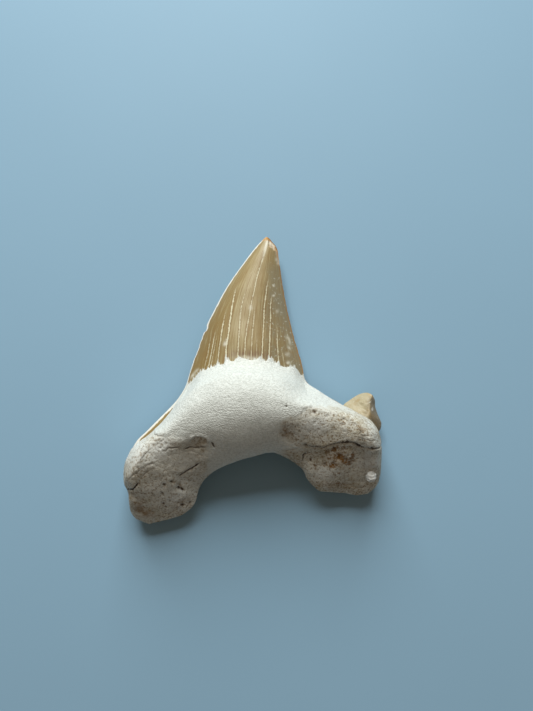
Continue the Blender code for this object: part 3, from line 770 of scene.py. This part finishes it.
# Ledge across the right lobe, below which the bone is lower: (x, y)
LEDGE = (
    (4, -6.6), (7.7, -6.4), (11.7, -6.9), (14.6, -5.8), (17.1, -5.8), (20, -7), (24, -7.4),
)
LEDGE_DROP = 0.9
LEDGE_START = -0.6
LEDGE_FOOT = 1.2
LEDGE_REACH = 9.5
LEDGE_ENDS = (4.0, 11.7, 20.0, 25.0)
# Outline of the filler on the upper side, from the left shoulder round by the notch
FILLER = (
    (-26, -2), (-22.3, -3.7), (-20.4, -4.1), (-17.9, -4.35), (-15.2, -5.1), (-14.2, -4.55),
    (-12.9, -4.35), (-12, -4.6), (-11.6, -6.8), (-12.1, -9), (-12, -11.5), (-12.4, -16), (1, -16),
    (1.9, -9.5), (2.2, -7.6), (4.3, -7.25), (5.85, -7.05), (7.2, -6.8), (5.75, -6.15), (4.35, -5.7),
    (3.1, -4.6), (2.45, -3.4), (2.5, -2.35), (3.9, -1), (5.7, -0.3), (7.25, 0.75), (9.55, 1.5),
    (11.4, 1.2), (15.7, 1.3), (19, 1.2), (22, 8), (8, 24), (-20, 24), (-30, 4),
)
# Lip of the filler above the left lobe's hollow
LIP = ((-18.6, -4.6), (-15.2, -5.1), (-14.2, -4.55), (-12.9, -4.35), (-12.0, -4.6), (-11.5, -5.9))
LIP_DROP = 0.5
LIP_RISE = 0.14
# Cracks and creases: (half width, depth, darkness, points)
FISSURES = (
    (0.16, 0.5, 0.95, ((9.4, -6.7), (11.55, -6.85), (13.1, -6.25), (14.5, -5.72), (16.95, -5.78),
                        (19, -6.7), (20.97, -7.1), (22.6, -6.9), (24.6, -6))),
    (0.08, 0.2, 0.8, ((7, -6.1), (8.2, -6.5), (9.4, -6.7), (11, -6.9))),
    (0.08, 0.12, 0.35, ((2.2, -7.6), (4.3, -7.25), (5.85, -7.05), (7.4, -6.4))),
    (0.19, 0.34, 0.95, ((-29.6, -15.9), (-28.2, -15.4), (-26.9, -15.1), (-26.1, -14.3), (-25.6, -13.6))),
    (0.07, 0.1, 0.6, ((-27.6, -13.2), (-26.7, -12.3), (-25, -11.1), (-23.6, -10), (-22.1, -9.6),
                       (-20.6, -8.8))),
    (0.06, 0.08, 0.45, ((-25.3, -13.3), (-24.4, -12), (-23, -11), (-21.6, -10.4))),
    (0.09, 0.16, 0.75, ((-20.4, -7.5), (-19.3, -6.8), (-18.5, -6.55), (-17.2, -6.5))),
    (0.21, 0.26, 0.95, ((-16.3, -6.95), (-14.8, -6.7), (-13.8, -6.85), (-13, -6.6), (-12.1, -6.7))),
    (0.05, 0.08, 0.45, ((-16.9, -7.4), (-15.2, -7.35), (-13.6, -7.8), (-12.9, -8.4))),
    (0.16, 0.26, 0.95, ((-13.4, -9.8), (-14.9, -10.8), (-16.05, -11.3), (-17, -12.05), (-17.8, -12.7))),
    (0.07, 0.06, 0.6, ((-22.9, -3), (-22.2, -3.9), (-21.3, -4.25), (-20.4, -4.35), (-19.6, -4.6))),
    (0.13, 0.3, 0.85, ((7.95, -7.6), (7.35, -8.4), (7.5, -9.7))),
    (0.08, 0.16, 0.65, ((7.5, -8.2), (8.5, -7.75), (9.5, -8.1))),
    (0.05, 0.12, 0.35, ((15.8, -14), (17.8, -15.1), (19.65, -15.5), (21, -15.35))),
    (0.05, 0.08, 0.45, ((12.5, -3.2), (14.2, -3), (15.8, -3.5), (17, -3.3))),
    (0.05, 0.08, 0.45, ((16.5, -4.6), (18.6, -4.7), (20.6, -5.3), (22, -5.2))),
    (0.05, 0.06, 0.4, ((15, -4.1), (17, -3.9), (19.2, -4.3), (21, -4.4))),
    (0.27, 0.24, 0.85, ((-10.85, -5.45), (-10.55, -6), (-10.15, -6.7))),
)
# Pits of the upper side: (x, y, radius, depth, darkness)
PITS = (
    (-20.7, -14.25, 0.36, 0.42, 0.9), (-19.2, -13.65, 0.31, 0.39, 0.9), (-17.9, -15.2, 0.42, 0.42, 0.9),
    (-17.3, -15.5, 0.41, 0.39, 0.9), (-17.9, -14.3, 0.38, 0.21, 0.5), (-21.3, -16.1, 0.32, 0.32, 0.8),
    (-23, -16.6, 0.29, 0.24, 0.5), (-21.3, -18.5, 0.32, 0.35, 0.9), (-16.1, -18.6, 0.34, 0.35, 0.8),
    (-25.5, -13.8, 0.26, 0.24, 0.7), (-21, -19.3, 0.26, 0.24, 0.7), (-23.8, -20.3, 0.27, 0.24, 0.5),
    (-20, -17.9, 0.24, 0.21, 0.6), (-21.3, -21, 0.26, 0.24, 0.6), (-17.7, -19, 0.38, 0.39, 0.8),
    (-18.4, -18.4, 0.26, 0.24, 0.7), (9.1, -9.4, 0.34, 0.32, 0.7), (11.9, -10.25, 0.31, 0.28, 0.7),
    (10.1, -10.5, 0.26, 0.21, 0.6), (21.05, -6.95, 0.36, 0.49, 0.9), (14.7, -8.6, 0.64, 0.39, 0.3),
    (13.6, -10.2, 0.47, 0.28, 0.3), (16.2, -9.2, 0.51, 0.24, 0.3), (9.4, 0.4, 0.42, 0.28, 0.7),
    (13.5, -6.9, 0.3, 0.24, 0.7), (15.2, -1.1, 0.34, 0.21, 0.5), (7.75, -6.3, 0.32, 0.39, 0.9),
    (-7.3, 3.3, 0.2, 0.16, 0.7), (4, 1.5, 0.24, 0.2, 0.8), (-4.6, 6.2, 0.18, 0.14, 0.5),
    (1.8, 4.6, 0.18, 0.14, 0.5),
)
# Stains of the upper side: (x, y, half length, half width, turn in degrees, strength)
BROWN_STAINS = (
    (4.2, -3.5, 2.1, 1.4, -60, 0.9), (4.9, -4.7, 2.3, 1.5, -40, 0.45), (9.4, 0.4, 1.1, 0.8, 0, 0.6),
    (-25.6, -19.8, 3.2, 1.6, -55, 0.9), (-27.9, -16.4, 1.6, 1, -60, 0.8), (14, -9, 3.6, 2.3, -20, 0.8),
    (18.6, -2.6, 1.6, 1, -30, 0.55), (14.5, -15, 6, 1.4, -5, 0.6), (-18, -18.8, 3, 1.5, 30, 0.6),
    (5.5, -9.6, 3.2, 1.4, -45, 0.6), (21, -12.6, 2, 2, 0, 0.4), (-24.7, -8.2, 1.1, 0.8, 0, 0.35),
)
ORANGE_STAINS = (
    (14.9, -8.6, 1.25, 0.75, -40, 1), (15.6, -9.4, 0.7, 0.5, 0, 0.8), (13.55, -10.3, 0.7, 0.6, 0, 1),
    (16.6, -9.8, 1.1, 0.6, 15, 0.8), (17.3, -8.6, 0.6, 0.8, 0, 0.7), (13.6, -7.2, 0.8, 0.5, 40, 0.9),
    (15.2, -6.7, 0.8, 0.3, -10, 0.6), (12.4, -7.2, 0.4, 0.3, 0, 0.7), (11.9, -10.3, 0.4, 0.3, 0, 0.8),
    (9.1, -9.4, 0.5, 0.3, -30, 0.7), (10, -10.6, 0.7, 0.3, -35, 0.6), (12.8, -8.8, 0.5, 0.3, 20, 0.5),
    (14.8, -14.4, 1.2, 0.5, -10, 0.5), (15.2, -1.7, 0.5, 0.3, 0, 0.7), (15, -12, 0.4, 0.3, 0, 0.4),
)
# Pale bone of the upper side, and freckle-free bone whose grey is painted shade, in the same form
PALE_BONE = (
    (-26, -7, 4.5, 4.5, 0, 1), (-21.5, -7, 5, 3, 20, 1), (-18.5, -17, 5, 4, 0, 0.9),
    (11.5, -12, 3.4, 1.8, -20, 0.9), (21.5, -4.6, 3.4, 1.6, -55, 0.6), (8.8, -2.4, 3.5, 2.2, 10, 1),
    (20, -9.5, 3, 2.5, 0, 1), (-15.2, -13.4, 2.6, 3.2, 0, 0.7),
)
SMOOTH_BONE_AND_SHADE = (
    (-16.2, -9.2, 4.2, 2.6, 20, 1), (-20.5, -9, 3.5, 1.8, 30, 0.8), (-26, -20.5, 3, 1.8, -50, 0.9),
    (22, -9.5, 2.5, 3.5, 0, 0.5), (18.5, -13, 3.5, 2.5, 0, 0.4), (-14.3, -6, 3, 1.2, 0, 0.7),
)
FINE_PITS = 360
UNDER_PITS = 170
FINE_PIT_RADII = (0.13, 0.32)
FINE_PIT_DEPTH = 0.11
# Cracks and pits have wavy outlines, and grooves no thinner than the grid can show
WAVINESS = 0.13
LEAST_CRACK = 0.03
LEAST_GROOVE = 0.14


def line_distance(points, line):
    """Distance from each place to a line of points, how far along it that is, and on which side."""
    line = np.asarray(line, float)
    near = np.full(points.shape[:-1], 1e9)
    spot, side = np.zeros_like(near), np.ones_like(near)
    for i, (a, b) in enumerate(zip(line, line[1:])):
        way, off = b - a, points[..., :2] - a
        t = np.clip(off @ way / (way @ way), 0.0, 1.0)
        away = np.linalg.norm(off - t[..., None] * way, axis=-1)
        spot = np.where(away < near, (i + t) / (len(line) - 1), spot)
        left = way[0] * off[..., 1] - way[1] * off[..., 0] > 0
        side = np.where(away < near, np.where(left, 1.0, -1.0), side)
        near = np.minimum(near, away)
    return near, spot, side


def inside_outline(points, outline):
    """Distance inside a closed outline, negative outside it."""
    corners = np.asarray(outline, float)
    edge, _, _ = line_distance(points, np.vstack([corners, corners[:1]]))
    inside = np.zeros(points.shape[:-1], bool)
    x, y = points[..., 0], points[..., 1]
    for (ax, ay), (bx, by) in zip(corners, np.roll(corners, -1, axis=0)):
        if ay != by:
            inside ^= ((ay > y) != (by > y)) & (x < ax + (bx - ax) * (y - ay) / (by - ay))
    return np.where(inside, edge, -edge)


def root_relief(x, y):
    """Dents, swellings and the ledge of the root's upper side, as a change of height."""
    dents = sum(bells(np.stack([x, y], axis=-1), DENTS))
    below = np.interp(x, *np.transpose(LEDGE)) - y
    step = within(below, LEDGE_START, LEDGE_FOOT, LEDGE_FOOT, LEDGE_REACH)
    return -dents - LEDGE_DROP * step * within(x, *LEDGE_ENDS)


def neck_top(x, y, height):
    """Height of the root where it laps over the crown's enamel.

    It starts as a thin coat at the border, rises into the swollen root over a few
    millimetres, and dives into the crown past the border, to no more than its middle.
    """
    line = through(NECK_LINE, x)[..., 0]
    inside = line - y
    past = neck_border(x, y) - y
    top = crown_front(x, y)
    half = np.clip(top - crown_back(x, y), 0.0, None) / 2
    coat = np.where(past > 0, COAT * ease(0.0, COAT_RISE, past), -np.minimum(-COAT_DIVE * past, half))
    lap = top + coat
    return lap + (soft_max(height, lap, NECK_BLEND) - lap) * ease(0.0, NECK_RISE, inside)


def root_under(x, y, height):
    """Height of the root's underside where it runs under the crown's enamel.

    Past the arch it starts a step above the enamel's face and eases into its own form.
    Before the arch it climbs into the crown, to no more than its middle.
    """
    inside = past_arch(x, y)
    bottom = crown_back(x, y)
    half = np.clip(crown_front(x, y) - bottom, 0.0, None) / 2
    lap = bottom + ENAMEL_STEP + np.clip(-COAT_DIVE * inside, 0.0, np.maximum(half - ENAMEL_STEP, 0.0))
    return lap + (height - lap) * ease(0.0, NECK_RISE, inside)


def quarter(rim, crest, power, steps, neck=0.0):
    """Rounded quarters of all sections, from the rim to the crest.

    The shares of the way across and of the height are those of a superellipse, whose
    share across is softened near the crest so that no crease shows there.
    On the neck the height follows a bell curve, which is level at both ends.
    """
    angle = np.linspace(0.0, math.pi / 2, steps + 1)
    across = np.clip(np.cos(angle), 0.0, 1.0) ** (2 / power)
    length = np.linalg.norm(rim[:, None, :2] - crest[:, None, :2], axis=-1)
    softness = np.minimum(CREST_SOFTNESS / np.maximum(length, 0.02), CREST_SOFTNESS_MOST)
    soft = (np.hypot(across, softness) - softness) / (np.hypot(1.0, softness) - softness)
    rise = np.clip(1 - soft**power, 0.0, 1.0) ** (1 / power)
    rise = rise + ((1 + np.cos(math.pi * across)) / 2 - rise) * neck
    flat = crest[:, None, :2] + (rim - crest)[:, None, :2] * across[..., None]
    height = rim[:, None, 2] + (crest - rim)[:, None, 2] * rise
    return np.concatenate([flat, height[..., None]], axis=-1)


def lower_quarters(rim, belly, power):
    """Rounded quarters of the underside, from a rim to the belly, which stay below the rim."""
    side = quarter(rim, belly, power, LOWER_STEPS)
    away = np.linalg.norm(side[..., :2] - rim[:, None, :2], axis=-1)
    most = rim[:, None, 2] - RIM_GAP * ease(0.0, RIM_GAP_REACH, away)
    side[..., 2] = np.minimum(root_under(*np.moveaxis(side, -1, 0)), most)
    return side


def station_places():
    """Stations of the rings, spaced so that the longest step between two rings is even."""
    fine = np.linspace(0.0, 24.0, 2401)
    steps = [np.linalg.norm(np.diff(through(rows, fine)[:, :2], axis=0), axis=1)
             for rows in (OUTER_RIM, INNER_RIM, CREST)]
    length = np.concatenate([[0.0], np.cumsum(np.maximum.reduce(steps) + 0.01)])
    return np.interp(np.linspace(0.0, length[-1], ROOT_ROWS), length, fine)


def root_form():
    """Rings round the root's section, from the left lobe's end to the right one's."""
    station = station_places()
    outer, inner = through(OUTER_RIM, station), through(INNER_RIM, station)
    crest = through(CREST, station) * (1, 1, ROOT_HEIGHT)
    form = through(ROOT_FORM, station)
    under, outer_power, inner_power, low_outer, low_inner, neck = (form[:, i:i + 1] for i in range(6))
    belly = np.column_stack([crest[:, :2], under])
    upper = np.concatenate([
        quarter(outer, crest, outer_power, UPPER_STEPS, neck),
        quarter(inner, crest, inner_power, UPPER_STEPS)[:, -2::-1],
    ], axis=1)
    level = ((outer + inner)[:, 2] / 2)[:, None]
    steep = ease(0.0, RELIEF_RISE, upper[..., 2] - level)
    upper[..., 2] = neck_top(*np.moveaxis(upper, -1, 0))
    upper[..., 2] += root_relief(upper[..., 0], upper[..., 1]) * steep
    outer[:, 2] = upper[:, 0, 2]
    under_outer = lower_quarters(outer, belly, low_outer)
    under_inner = lower_quarters(inner, belly, low_inner)
    return np.concatenate([upper, under_inner[:, 1:], under_outer[:, -2:0:-1]], axis=1)


def scattered(points, count, seed, allowed):
    """Bell-shaped fine pits at random places of a surface: depth share at each point."""
    rng = np.random.default_rng(seed)
    choices = points[allowed]
    middles = choices[rng.integers(0, len(choices), count)]
    deepest = np.zeros(points.shape[:-1])
    for middle, radius in zip(middles, rng.uniform(*FINE_PIT_RADII, count)):
        away = np.sum((points - middle) ** 2, axis=-1) / radius**2
        deepest = np.maximum(deepest, np.exp(-away) * radius / FINE_PIT_RADII[1])
    return deepest


def filler_lip(grid, upper):
    """Change of height along the filler's lip, the white that it has, and what stays below it."""
    lip, spot, side = line_distance(grid + 0.08 * lumps(grid, 0.7, 37, 2)[..., None], LIP)
    above = side * lip
    held = within(spot, 0.14, 0.32, 0.9, 1.0) * upper
    under = ease(0.0, 0.28, -above) * (1 - ease(1.0, 3.0, lip)) * held
    edge = np.exp(-(((above - 0.25) / 0.28) ** 2)) * held
    white = ease(-0.05, 0.1, above) * (1 - ease(0.8, 2.0, lip)) * held
    return LIP_RISE * edge - LIP_DROP * under, white, 1 - 0.8 * under


def cracks_and_pits(grid, upper):
    """How deep and how dark the cracks and pits are, the darkening of their hollows being partly painted
    shade, and where the nearest crack lies.

    That is how far off it is in its own half widths, negative on one side, and its darkness.
    """
    wave = np.stack([lumps(grid, 0.8, 36, 2), lumps(grid, 0.8, 38, 2), 0 * grid[..., 0]], axis=-1)
    wavy = grid + WAVINESS * wave
    uneven = 1 + 0.5 * lumps(grid, 1.1, 40, 1)
    patchy = np.clip(0.85 + 0.35 * lumps(grid, 1.3, 41, 1), 0.4, 1.0)
    sunk, dark, crack_dark = (np.zeros(upper.shape) for _ in range(3))
    crack_off, nearest = (np.full(upper.shape, FAR_OFF) for _ in range(2))
    for half, depth, darkness, line in FISSURES:
        away, spot, side = line_distance(wavy, line)
        fade = np.sqrt(np.clip(4 * spot * (1 - spot), 0.0, 1.0))
        thick = np.maximum(half * uneven * fade, LEAST_CRACK)
        groove = np.exp(-((away / np.maximum(thick, LEAST_GROOVE)) ** 2)) * fade * upper
        sunk += depth * groove
        # darkening along each groove, partly grime and partly painted shade
        dark = np.maximum(dark, 0.35 * darkness * groove)
        strength = darkness * patchy * ease(0.0, 0.4, fade) * (1 - ease(0.28, 0.45, away))
        closer = away < nearest
        crack_off = np.where(closer, side * np.minimum(away / thick, FAR_OFF), crack_off)
        crack_dark = np.where(closer, strength, crack_dark)
        nearest = np.minimum(nearest, away)
    for x, y, radius, depth, darkness in PITS:
        away = np.hypot(wavy[..., 0] - x, wavy[..., 1] - y) / radius
        mask = np.exp(-(away**2)) * upper
        sunk += depth * mask
        # darkening of each pit, partly its own brown and partly painted shade
        dark = np.maximum(dark, darkness * mask**1.3)
    return sunk, dark, crack_off, crack_dark * upper


def root():
    """The root's form with its relief: lumps, lip, fissures and pits, and the masks for its finish."""
    form = root_form()
    columns = form.shape[1]
    upper = np.broadcast_to(np.arange(columns) <= 2 * UPPER_STEPS, form.shape[:2])
    depth_in = inside_outline(form, FILLER) + 0.45 * lumps(form, 1.6, 31)
    filler = ease(-0.25, 0.35, depth_in) * upper
    natural = 1 - filler
    in_crown = ease(-0.3, 0.4, neck_border(form[..., 0], form[..., 1]) - form[..., 1])
    room = np.where(upper, in_crown, ease(0.0, 1.0, past_arch(form[..., 0], form[..., 1])))

    lip_change, lip_white, below_lip = filler_lip(form, upper)
    white = ease(-1.3, 0.7, depth_in + 0.5 * lumps(form, 0.9, 30, 2)) * upper
    white = np.maximum(white, lip_white) * below_lip
    sunk, dark, crack_off, crack_dark = cracks_and_pits(form, upper)
    bony = (natural > 0.6) & upper & (form[..., 2] > 6.0)
    fine = np.maximum(scattered(form, FINE_PITS, 51, bony),
                      scattered(form, UNDER_PITS, 52, ~upper & (room > 0.9)))
    # fine pits darkened with their depth, partly painted shade
    dark = np.maximum(dark, 0.50 * fine**1.5)
    relief = natural * (0.13 * lumps(form, 4.5, 32) + 0.03 * lumps(form, 1.2, 33))
    relief += filler * (0.06 * lumps(form, 5.0, 34) + 0.012 * lumps(form, 0.8, 35, 2))
    relief += lip_change - sunk - FINE_PIT_DEPTH * fine

    grid = form + outward(form) * (relief * room)[..., None]
    fold = (2 * UPPER_STEPS - np.arange(columns)) % columns
    for end in (0, -1):
        grid[end] = (grid[end] + grid[end][fold]) / 2
    for pole in (UPPER_STEPS, 2 * UPPER_STEPS + LOWER_STEPS):
        for end in (0, -1):
            same = np.linalg.norm(form[:, pole, :2] - form[end, pole, :2], axis=-1) < 1e-6
            grid[same, pole] = grid[same, pole].mean(axis=0)

    soft_spots = grid + 0.8 * lumps(grid, 1.5, 45)[..., None]
    ragged_spots = grid + 0.3 * lumps(grid, 0.6, 46)[..., None]
    steps = np.linalg.norm(np.diff(form, axis=0), axis=-1).max(axis=1)
    along = np.concatenate([[0.0], np.cumsum(steps)])[:, None]
    steps = np.linalg.norm(np.roll(form, -1, axis=1) - form, axis=-1)
    fore, back = np.cumsum(steps, axis=1) - steps, np.cumsum(steps[:, ::-1], axis=1)[:, ::-1]
    fields = {
        "filler": filler, "white": white, "dark": dark, "upper": upper * 1.0,
        "crack_off": crack_off, "crack_dark": crack_dark,
        "orange": spots(ragged_spots, ORANGE_STAINS) * upper,
        "along": along + 0 * dark, "around": np.minimum(fore, back),
    }
    for title, rows in (("brown", BROWN_STAINS), ("pale", PALE_BONE), ("smooth", SMOOTH_BONE_AND_SHADE)):
        fields[title] = spots(soft_spots, rows) * upper
    return grid, fields


def bone_material():
    """Chalky, porous bone with brown stains, dark pits that are partly painted shade, grey patches of
    painted shade, and the sandy white filler.
    """
    paint = Paint("bone")
    patches, grain, specks = mineral(paint, 3.2, 0.32)
    filler, pale, smooth, crack_dark = (
        paint.field(title) for title in ("filler", "pale", "smooth", "crack_dark"))
    freckle = paint.noise(2300.0, 3.0, 0.65)
    blotch = paint.noise(900.0, 5.0, 0.7)
    fibre_spot = paint.plane(paint.field("along") * 2.6, paint.field("around") * 0.35)
    fibres = paint.noise(1.0, 4.0, 0.65, fibre_spot)
    freckly = smooth * -0.85 + 1.0

    # Cream ground with ochre and white blotches and fibres, pale patches, freckle-free grey patches of
    # painted shade, and freckles
    paint.start(patches.step(0.35, 0.65), (226, 223, 212), (200, 192, 172))
    paint.over(blotch.step(0.52, 0.66, 0.75) * (pale * -0.75 + 1.0), 162, 142, 108)
    paint.over(blotch.step(0.44, 0.32, 0.6), 238, 236, 228)
    paint.over(fibres.step(0.54, 0.70, 0.45), 150, 134, 106)
    paint.over(fibres.step(0.45, 0.32, 0.35), 240, 237, 228)
    paint.over(pale * 0.8, 232, 233, 229)
    # grey of painted shade over the freckle-free patches
    paint.over(smooth * 0.4, 168, 164, 156)
    paint.over(specks * 0.35, 126, 104, 74)
    paint.over(freckle.step(0.52, 0.63, 0.85) * freckly * (pale * -0.35 + 1.0), 140, 112, 74)
    paint.over(freckle.step(0.46, 0.36, 0.6) * freckly, 242, 239, 228)
    paint.over(paint.field("upper") * -0.35 + 0.35, 168, 148, 114)

    # White sand of the filler, then brown and rusty stains over both, and dark pits and grooves, partly
    # painted shade
    sand = paint.blend(freckle.step(0.35, 0.62), rgba(212, 213, 206), rgba(234, 235, 229))
    paint.color = paint.blend(paint.field("white"), paint.color, sand)
    mottle = freckle * 1.3 + (blotch * 1.1 - 0.25)
    rusty = paint.field("orange") * (mottle * 3.0 - 1.7)
    paint.over((paint.field("brown") * mottle).step(0.15, 0.95) * 0.75, 146, 116, 80)
    paint.over(rusty.step(0.15, 0.55, 0.75), 124, 92, 56)
    paint.over(rusty.step(0.60, 1.0, 0.9), 138, 96, 38)
    # dark of the pits and beside the grooves, partly the bone's own brown and partly painted shade
    paint.over(paint.field("dark").step(0.12, 0.8, 0.95), 72, 50, 34)

    # Dark cracks between pale sides
    off_crack = ((freckle - 0.5) * 1.6 + paint.field("crack_off")).to("ABSOLUTE")
    paint.over(off_crack.step(4.0, 1.8, 0.55) * crack_dark, 232, 228, 216)
    paint.over(off_crack.step(1.3, 0.6) * crack_dark, 62, 41, 27)

    grains = Value(add_node(paint.tree, "TexVoronoi", {"Vector": paint.place, "Scale": 3900.0}))
    bone_rise = blotch * 0.8 + grain * 0.4 - fibres * 0.9 - freckle * freckly * 0.9
    sand_rise = grain * 0.6 - grains * 0.8
    rise = Value(add_node(paint.tree, "Mix", {0: filler, 2: bone_rise, 3: sand_rise}))
    return paint.finish(filler * 0.12 + 0.78, 0.3, rise, 0.14)


BONE = bone_material()
fork = grid_piece("root", *root(), BONE)


# Side cusp: a small enamel cusp on the right shoulder, one with the root, broken off flat at its
# top. A ridge parts a pale left face from a browner right face.
CUSP_FOOT = (20.85, -0.65)
CUSP_TURN = math.radians(-35.0)
CUSP_ROOT_DEPTH = 4.5
CUSP_HEIGHT = 5.15
CUSP_BULGE = 3.1
# Rings of the cusp: (height up it, left and right end, height of its edges, share of bulge)
CUSP_OUTLINE = (
    (-CUSP_ROOT_DEPTH, -4.4, 3.4, 3, 1), (0, -4.75, 4.8, 3, 1), (1.3, -4.35, 4.3, 3, 0.95),
    (2.5, -3.9, 2.5, 3.1, 0.85), (3.6, -3.4, 1.1, 3.2, 0.7), (4.7, -2.55, 0.25, 3.3, 0.5),
    (CUSP_HEIGHT, -1.9, -0.45, 3.3, 0.4),
)
CUSP_RIDGE_SHARE = 0.55
CUSP_BELLY = 0.55
CUSP_BULGE_POWER = 1.4
CUSP_ROUGHNESS = 0.13
CUSP_GRAIN = 0.05
# Worn white spots, in the form of the crown's
CUSP_WORN = ((22.85, 1.1, 0.5, 0.24, 80.0, 1.0), (22.3, 2.6, 0.5, 0.2, 30.0, 0.6))
CUSP_ROWS = 110
CUSP_COLUMNS = 60


def side_cusp():
    """Rings across the cusp: bulge times (1 - the share away from the ridge to a power)."""
    share, front = ring_shares(CUSP_COLUMNS)
    away = off_ridge(share, CUSP_RIDGE_SHARE)
    height = np.linspace(-CUSP_ROOT_DEPTH, CUSP_HEIGHT, CUSP_ROWS)[:, None]
    left, right, level, swell = np.moveaxis(through(CUSP_OUTLINE, height), -1, 0)
    along = left + (right - left) * share
    x = CUSP_FOOT[0] + along * math.cos(CUSP_TURN) - height * math.sin(CUSP_TURN)
    y = CUSP_FOOT[1] + along * math.sin(CUSP_TURN) + height * math.cos(CUSP_TURN)
    bulge = CUSP_BULGE * swell * (1 - away**CUSP_BULGE_POWER)
    grid = np.stack([x, y, level + bulge * np.where(front, 1, -CUSP_BELLY)], axis=-1)
    rough = CUSP_ROUGHNESS * lumps(grid, 1.6, 61) + CUSP_GRAIN * lumps(grid, 0.5, 62)
    grid[..., 2] += np.sin(math.pi * share) * rough
    worn = spots(grid + 0.1 * lumps(grid, 0.5, 63)[..., None], CUSP_WORN) * front
    fields = {"ridge_side": share + 0 * bulge, "up": height / CUSP_HEIGHT + 0 * bulge, "worn": worn}
    ends = [np.broadcast_to(ring.mean(axis=0), ring.shape)[None] for ring in (grid[0], grid[-1])]
    return np.concatenate([ends[0], grid, ends[1]]), capped(fields)


def cusp_material():
    """Tan enamel, darker and browner to the right of the ridge, worn pale along ridge and rim."""
    paint = Paint("cusp_enamel")
    patches, grain, specks = mineral(paint, 1.6, 0.25)
    side = (patches - 0.5) * 0.15 + paint.field("ridge_side")
    ridge = (side - 0.56).to("ABSOLUTE")
    paint.start(side.step(0.36, 0.62), (182, 168, 136), (142, 125, 97))
    paint.over(patches.step(0.50, 0.70, 0.6), 166, 138, 94)
    paint.over(ridge.step(0.06, 0.012, 0.35), 216, 202, 170)
    paint.over(paint.field("up").step(0.88, 0.99, 0.7), 196, 164, 108)
    paint.over(specks * 0.3, 226, 222, 206)
    paint.over(paint.field("worn").step(0.25, 0.6, 0.8), 222, 218, 208)
    return paint.finish(0.42, rise=grain, depth=0.08)


cusp = grid_piece("side_cusp", *side_cusp(), cusp_material())


# Crust: a small round growth of white lime, like a ridged bead, cemented onto the right lobe in a
# shallow seat.
CRUST_RADIUS = 1.1
CRUST_SHAPE = (1.0, 1.12, 0.95)
CRUST_MIDDLE = (21.65, -12.85, 8.0)
CRUST_RINGS = 60
CRUST_SIDES = 96
CRUST_RIDGE = 0.06
CRUST_RIDGES = 9.0
CRUST_GRAIN = 0.05


def crust():
    """Ball from its lowest point to its highest, with wavy ridges across it."""
    rise = np.linspace(-math.pi / 2, math.pi / 2, CRUST_RINGS)[:, None]
    turn = np.linspace(0.0, 2 * math.pi, CRUST_SIDES, endpoint=False)
    flat = np.cos(rise).clip(0.0)
    ball = np.stack([flat * np.cos(turn), flat * np.sin(turn), np.sin(rise) + 0 * turn], axis=-1)
    wave = ball[..., 1] - 0.25 * ball[..., 0] + 0.3 * lumps(ball * 3, 2.0, 71)
    rough = 1 + CRUST_RIDGE * np.sin(CRUST_RIDGES * wave) + CRUST_GRAIN * lumps(ball * 3, 1.6, 72, 2)
    ball = ball * rough[..., None] * CRUST_RADIUS * CRUST_SHAPE + CRUST_MIDDLE
    ball[[0, -1]] = ball[[0, -1]].mean(axis=1, keepdims=True)
    return ball, {"hollow": np.clip(1 - rough, 0.0, None) * 6}


def crust_material():
    """White lime, greyer in its grooves."""
    paint = Paint("lime_crust")
    patches, grain, _ = mineral(paint, 0.8, 0.15)
    paint.start(patches.step(0.35, 0.65), (234, 234, 230), (218, 216, 210))
    paint.over(paint.field("hollow").step(0.15, 0.7, 0.55), 160, 154, 142)
    return paint.finish(0.75, rise=grain, depth=0.05)


button = grid_piece("crust", *crust(), crust_material())


def corners(box):
    """The two corners of a box as plain lists."""
    return [[float(part) for part in corner] for corner in box]
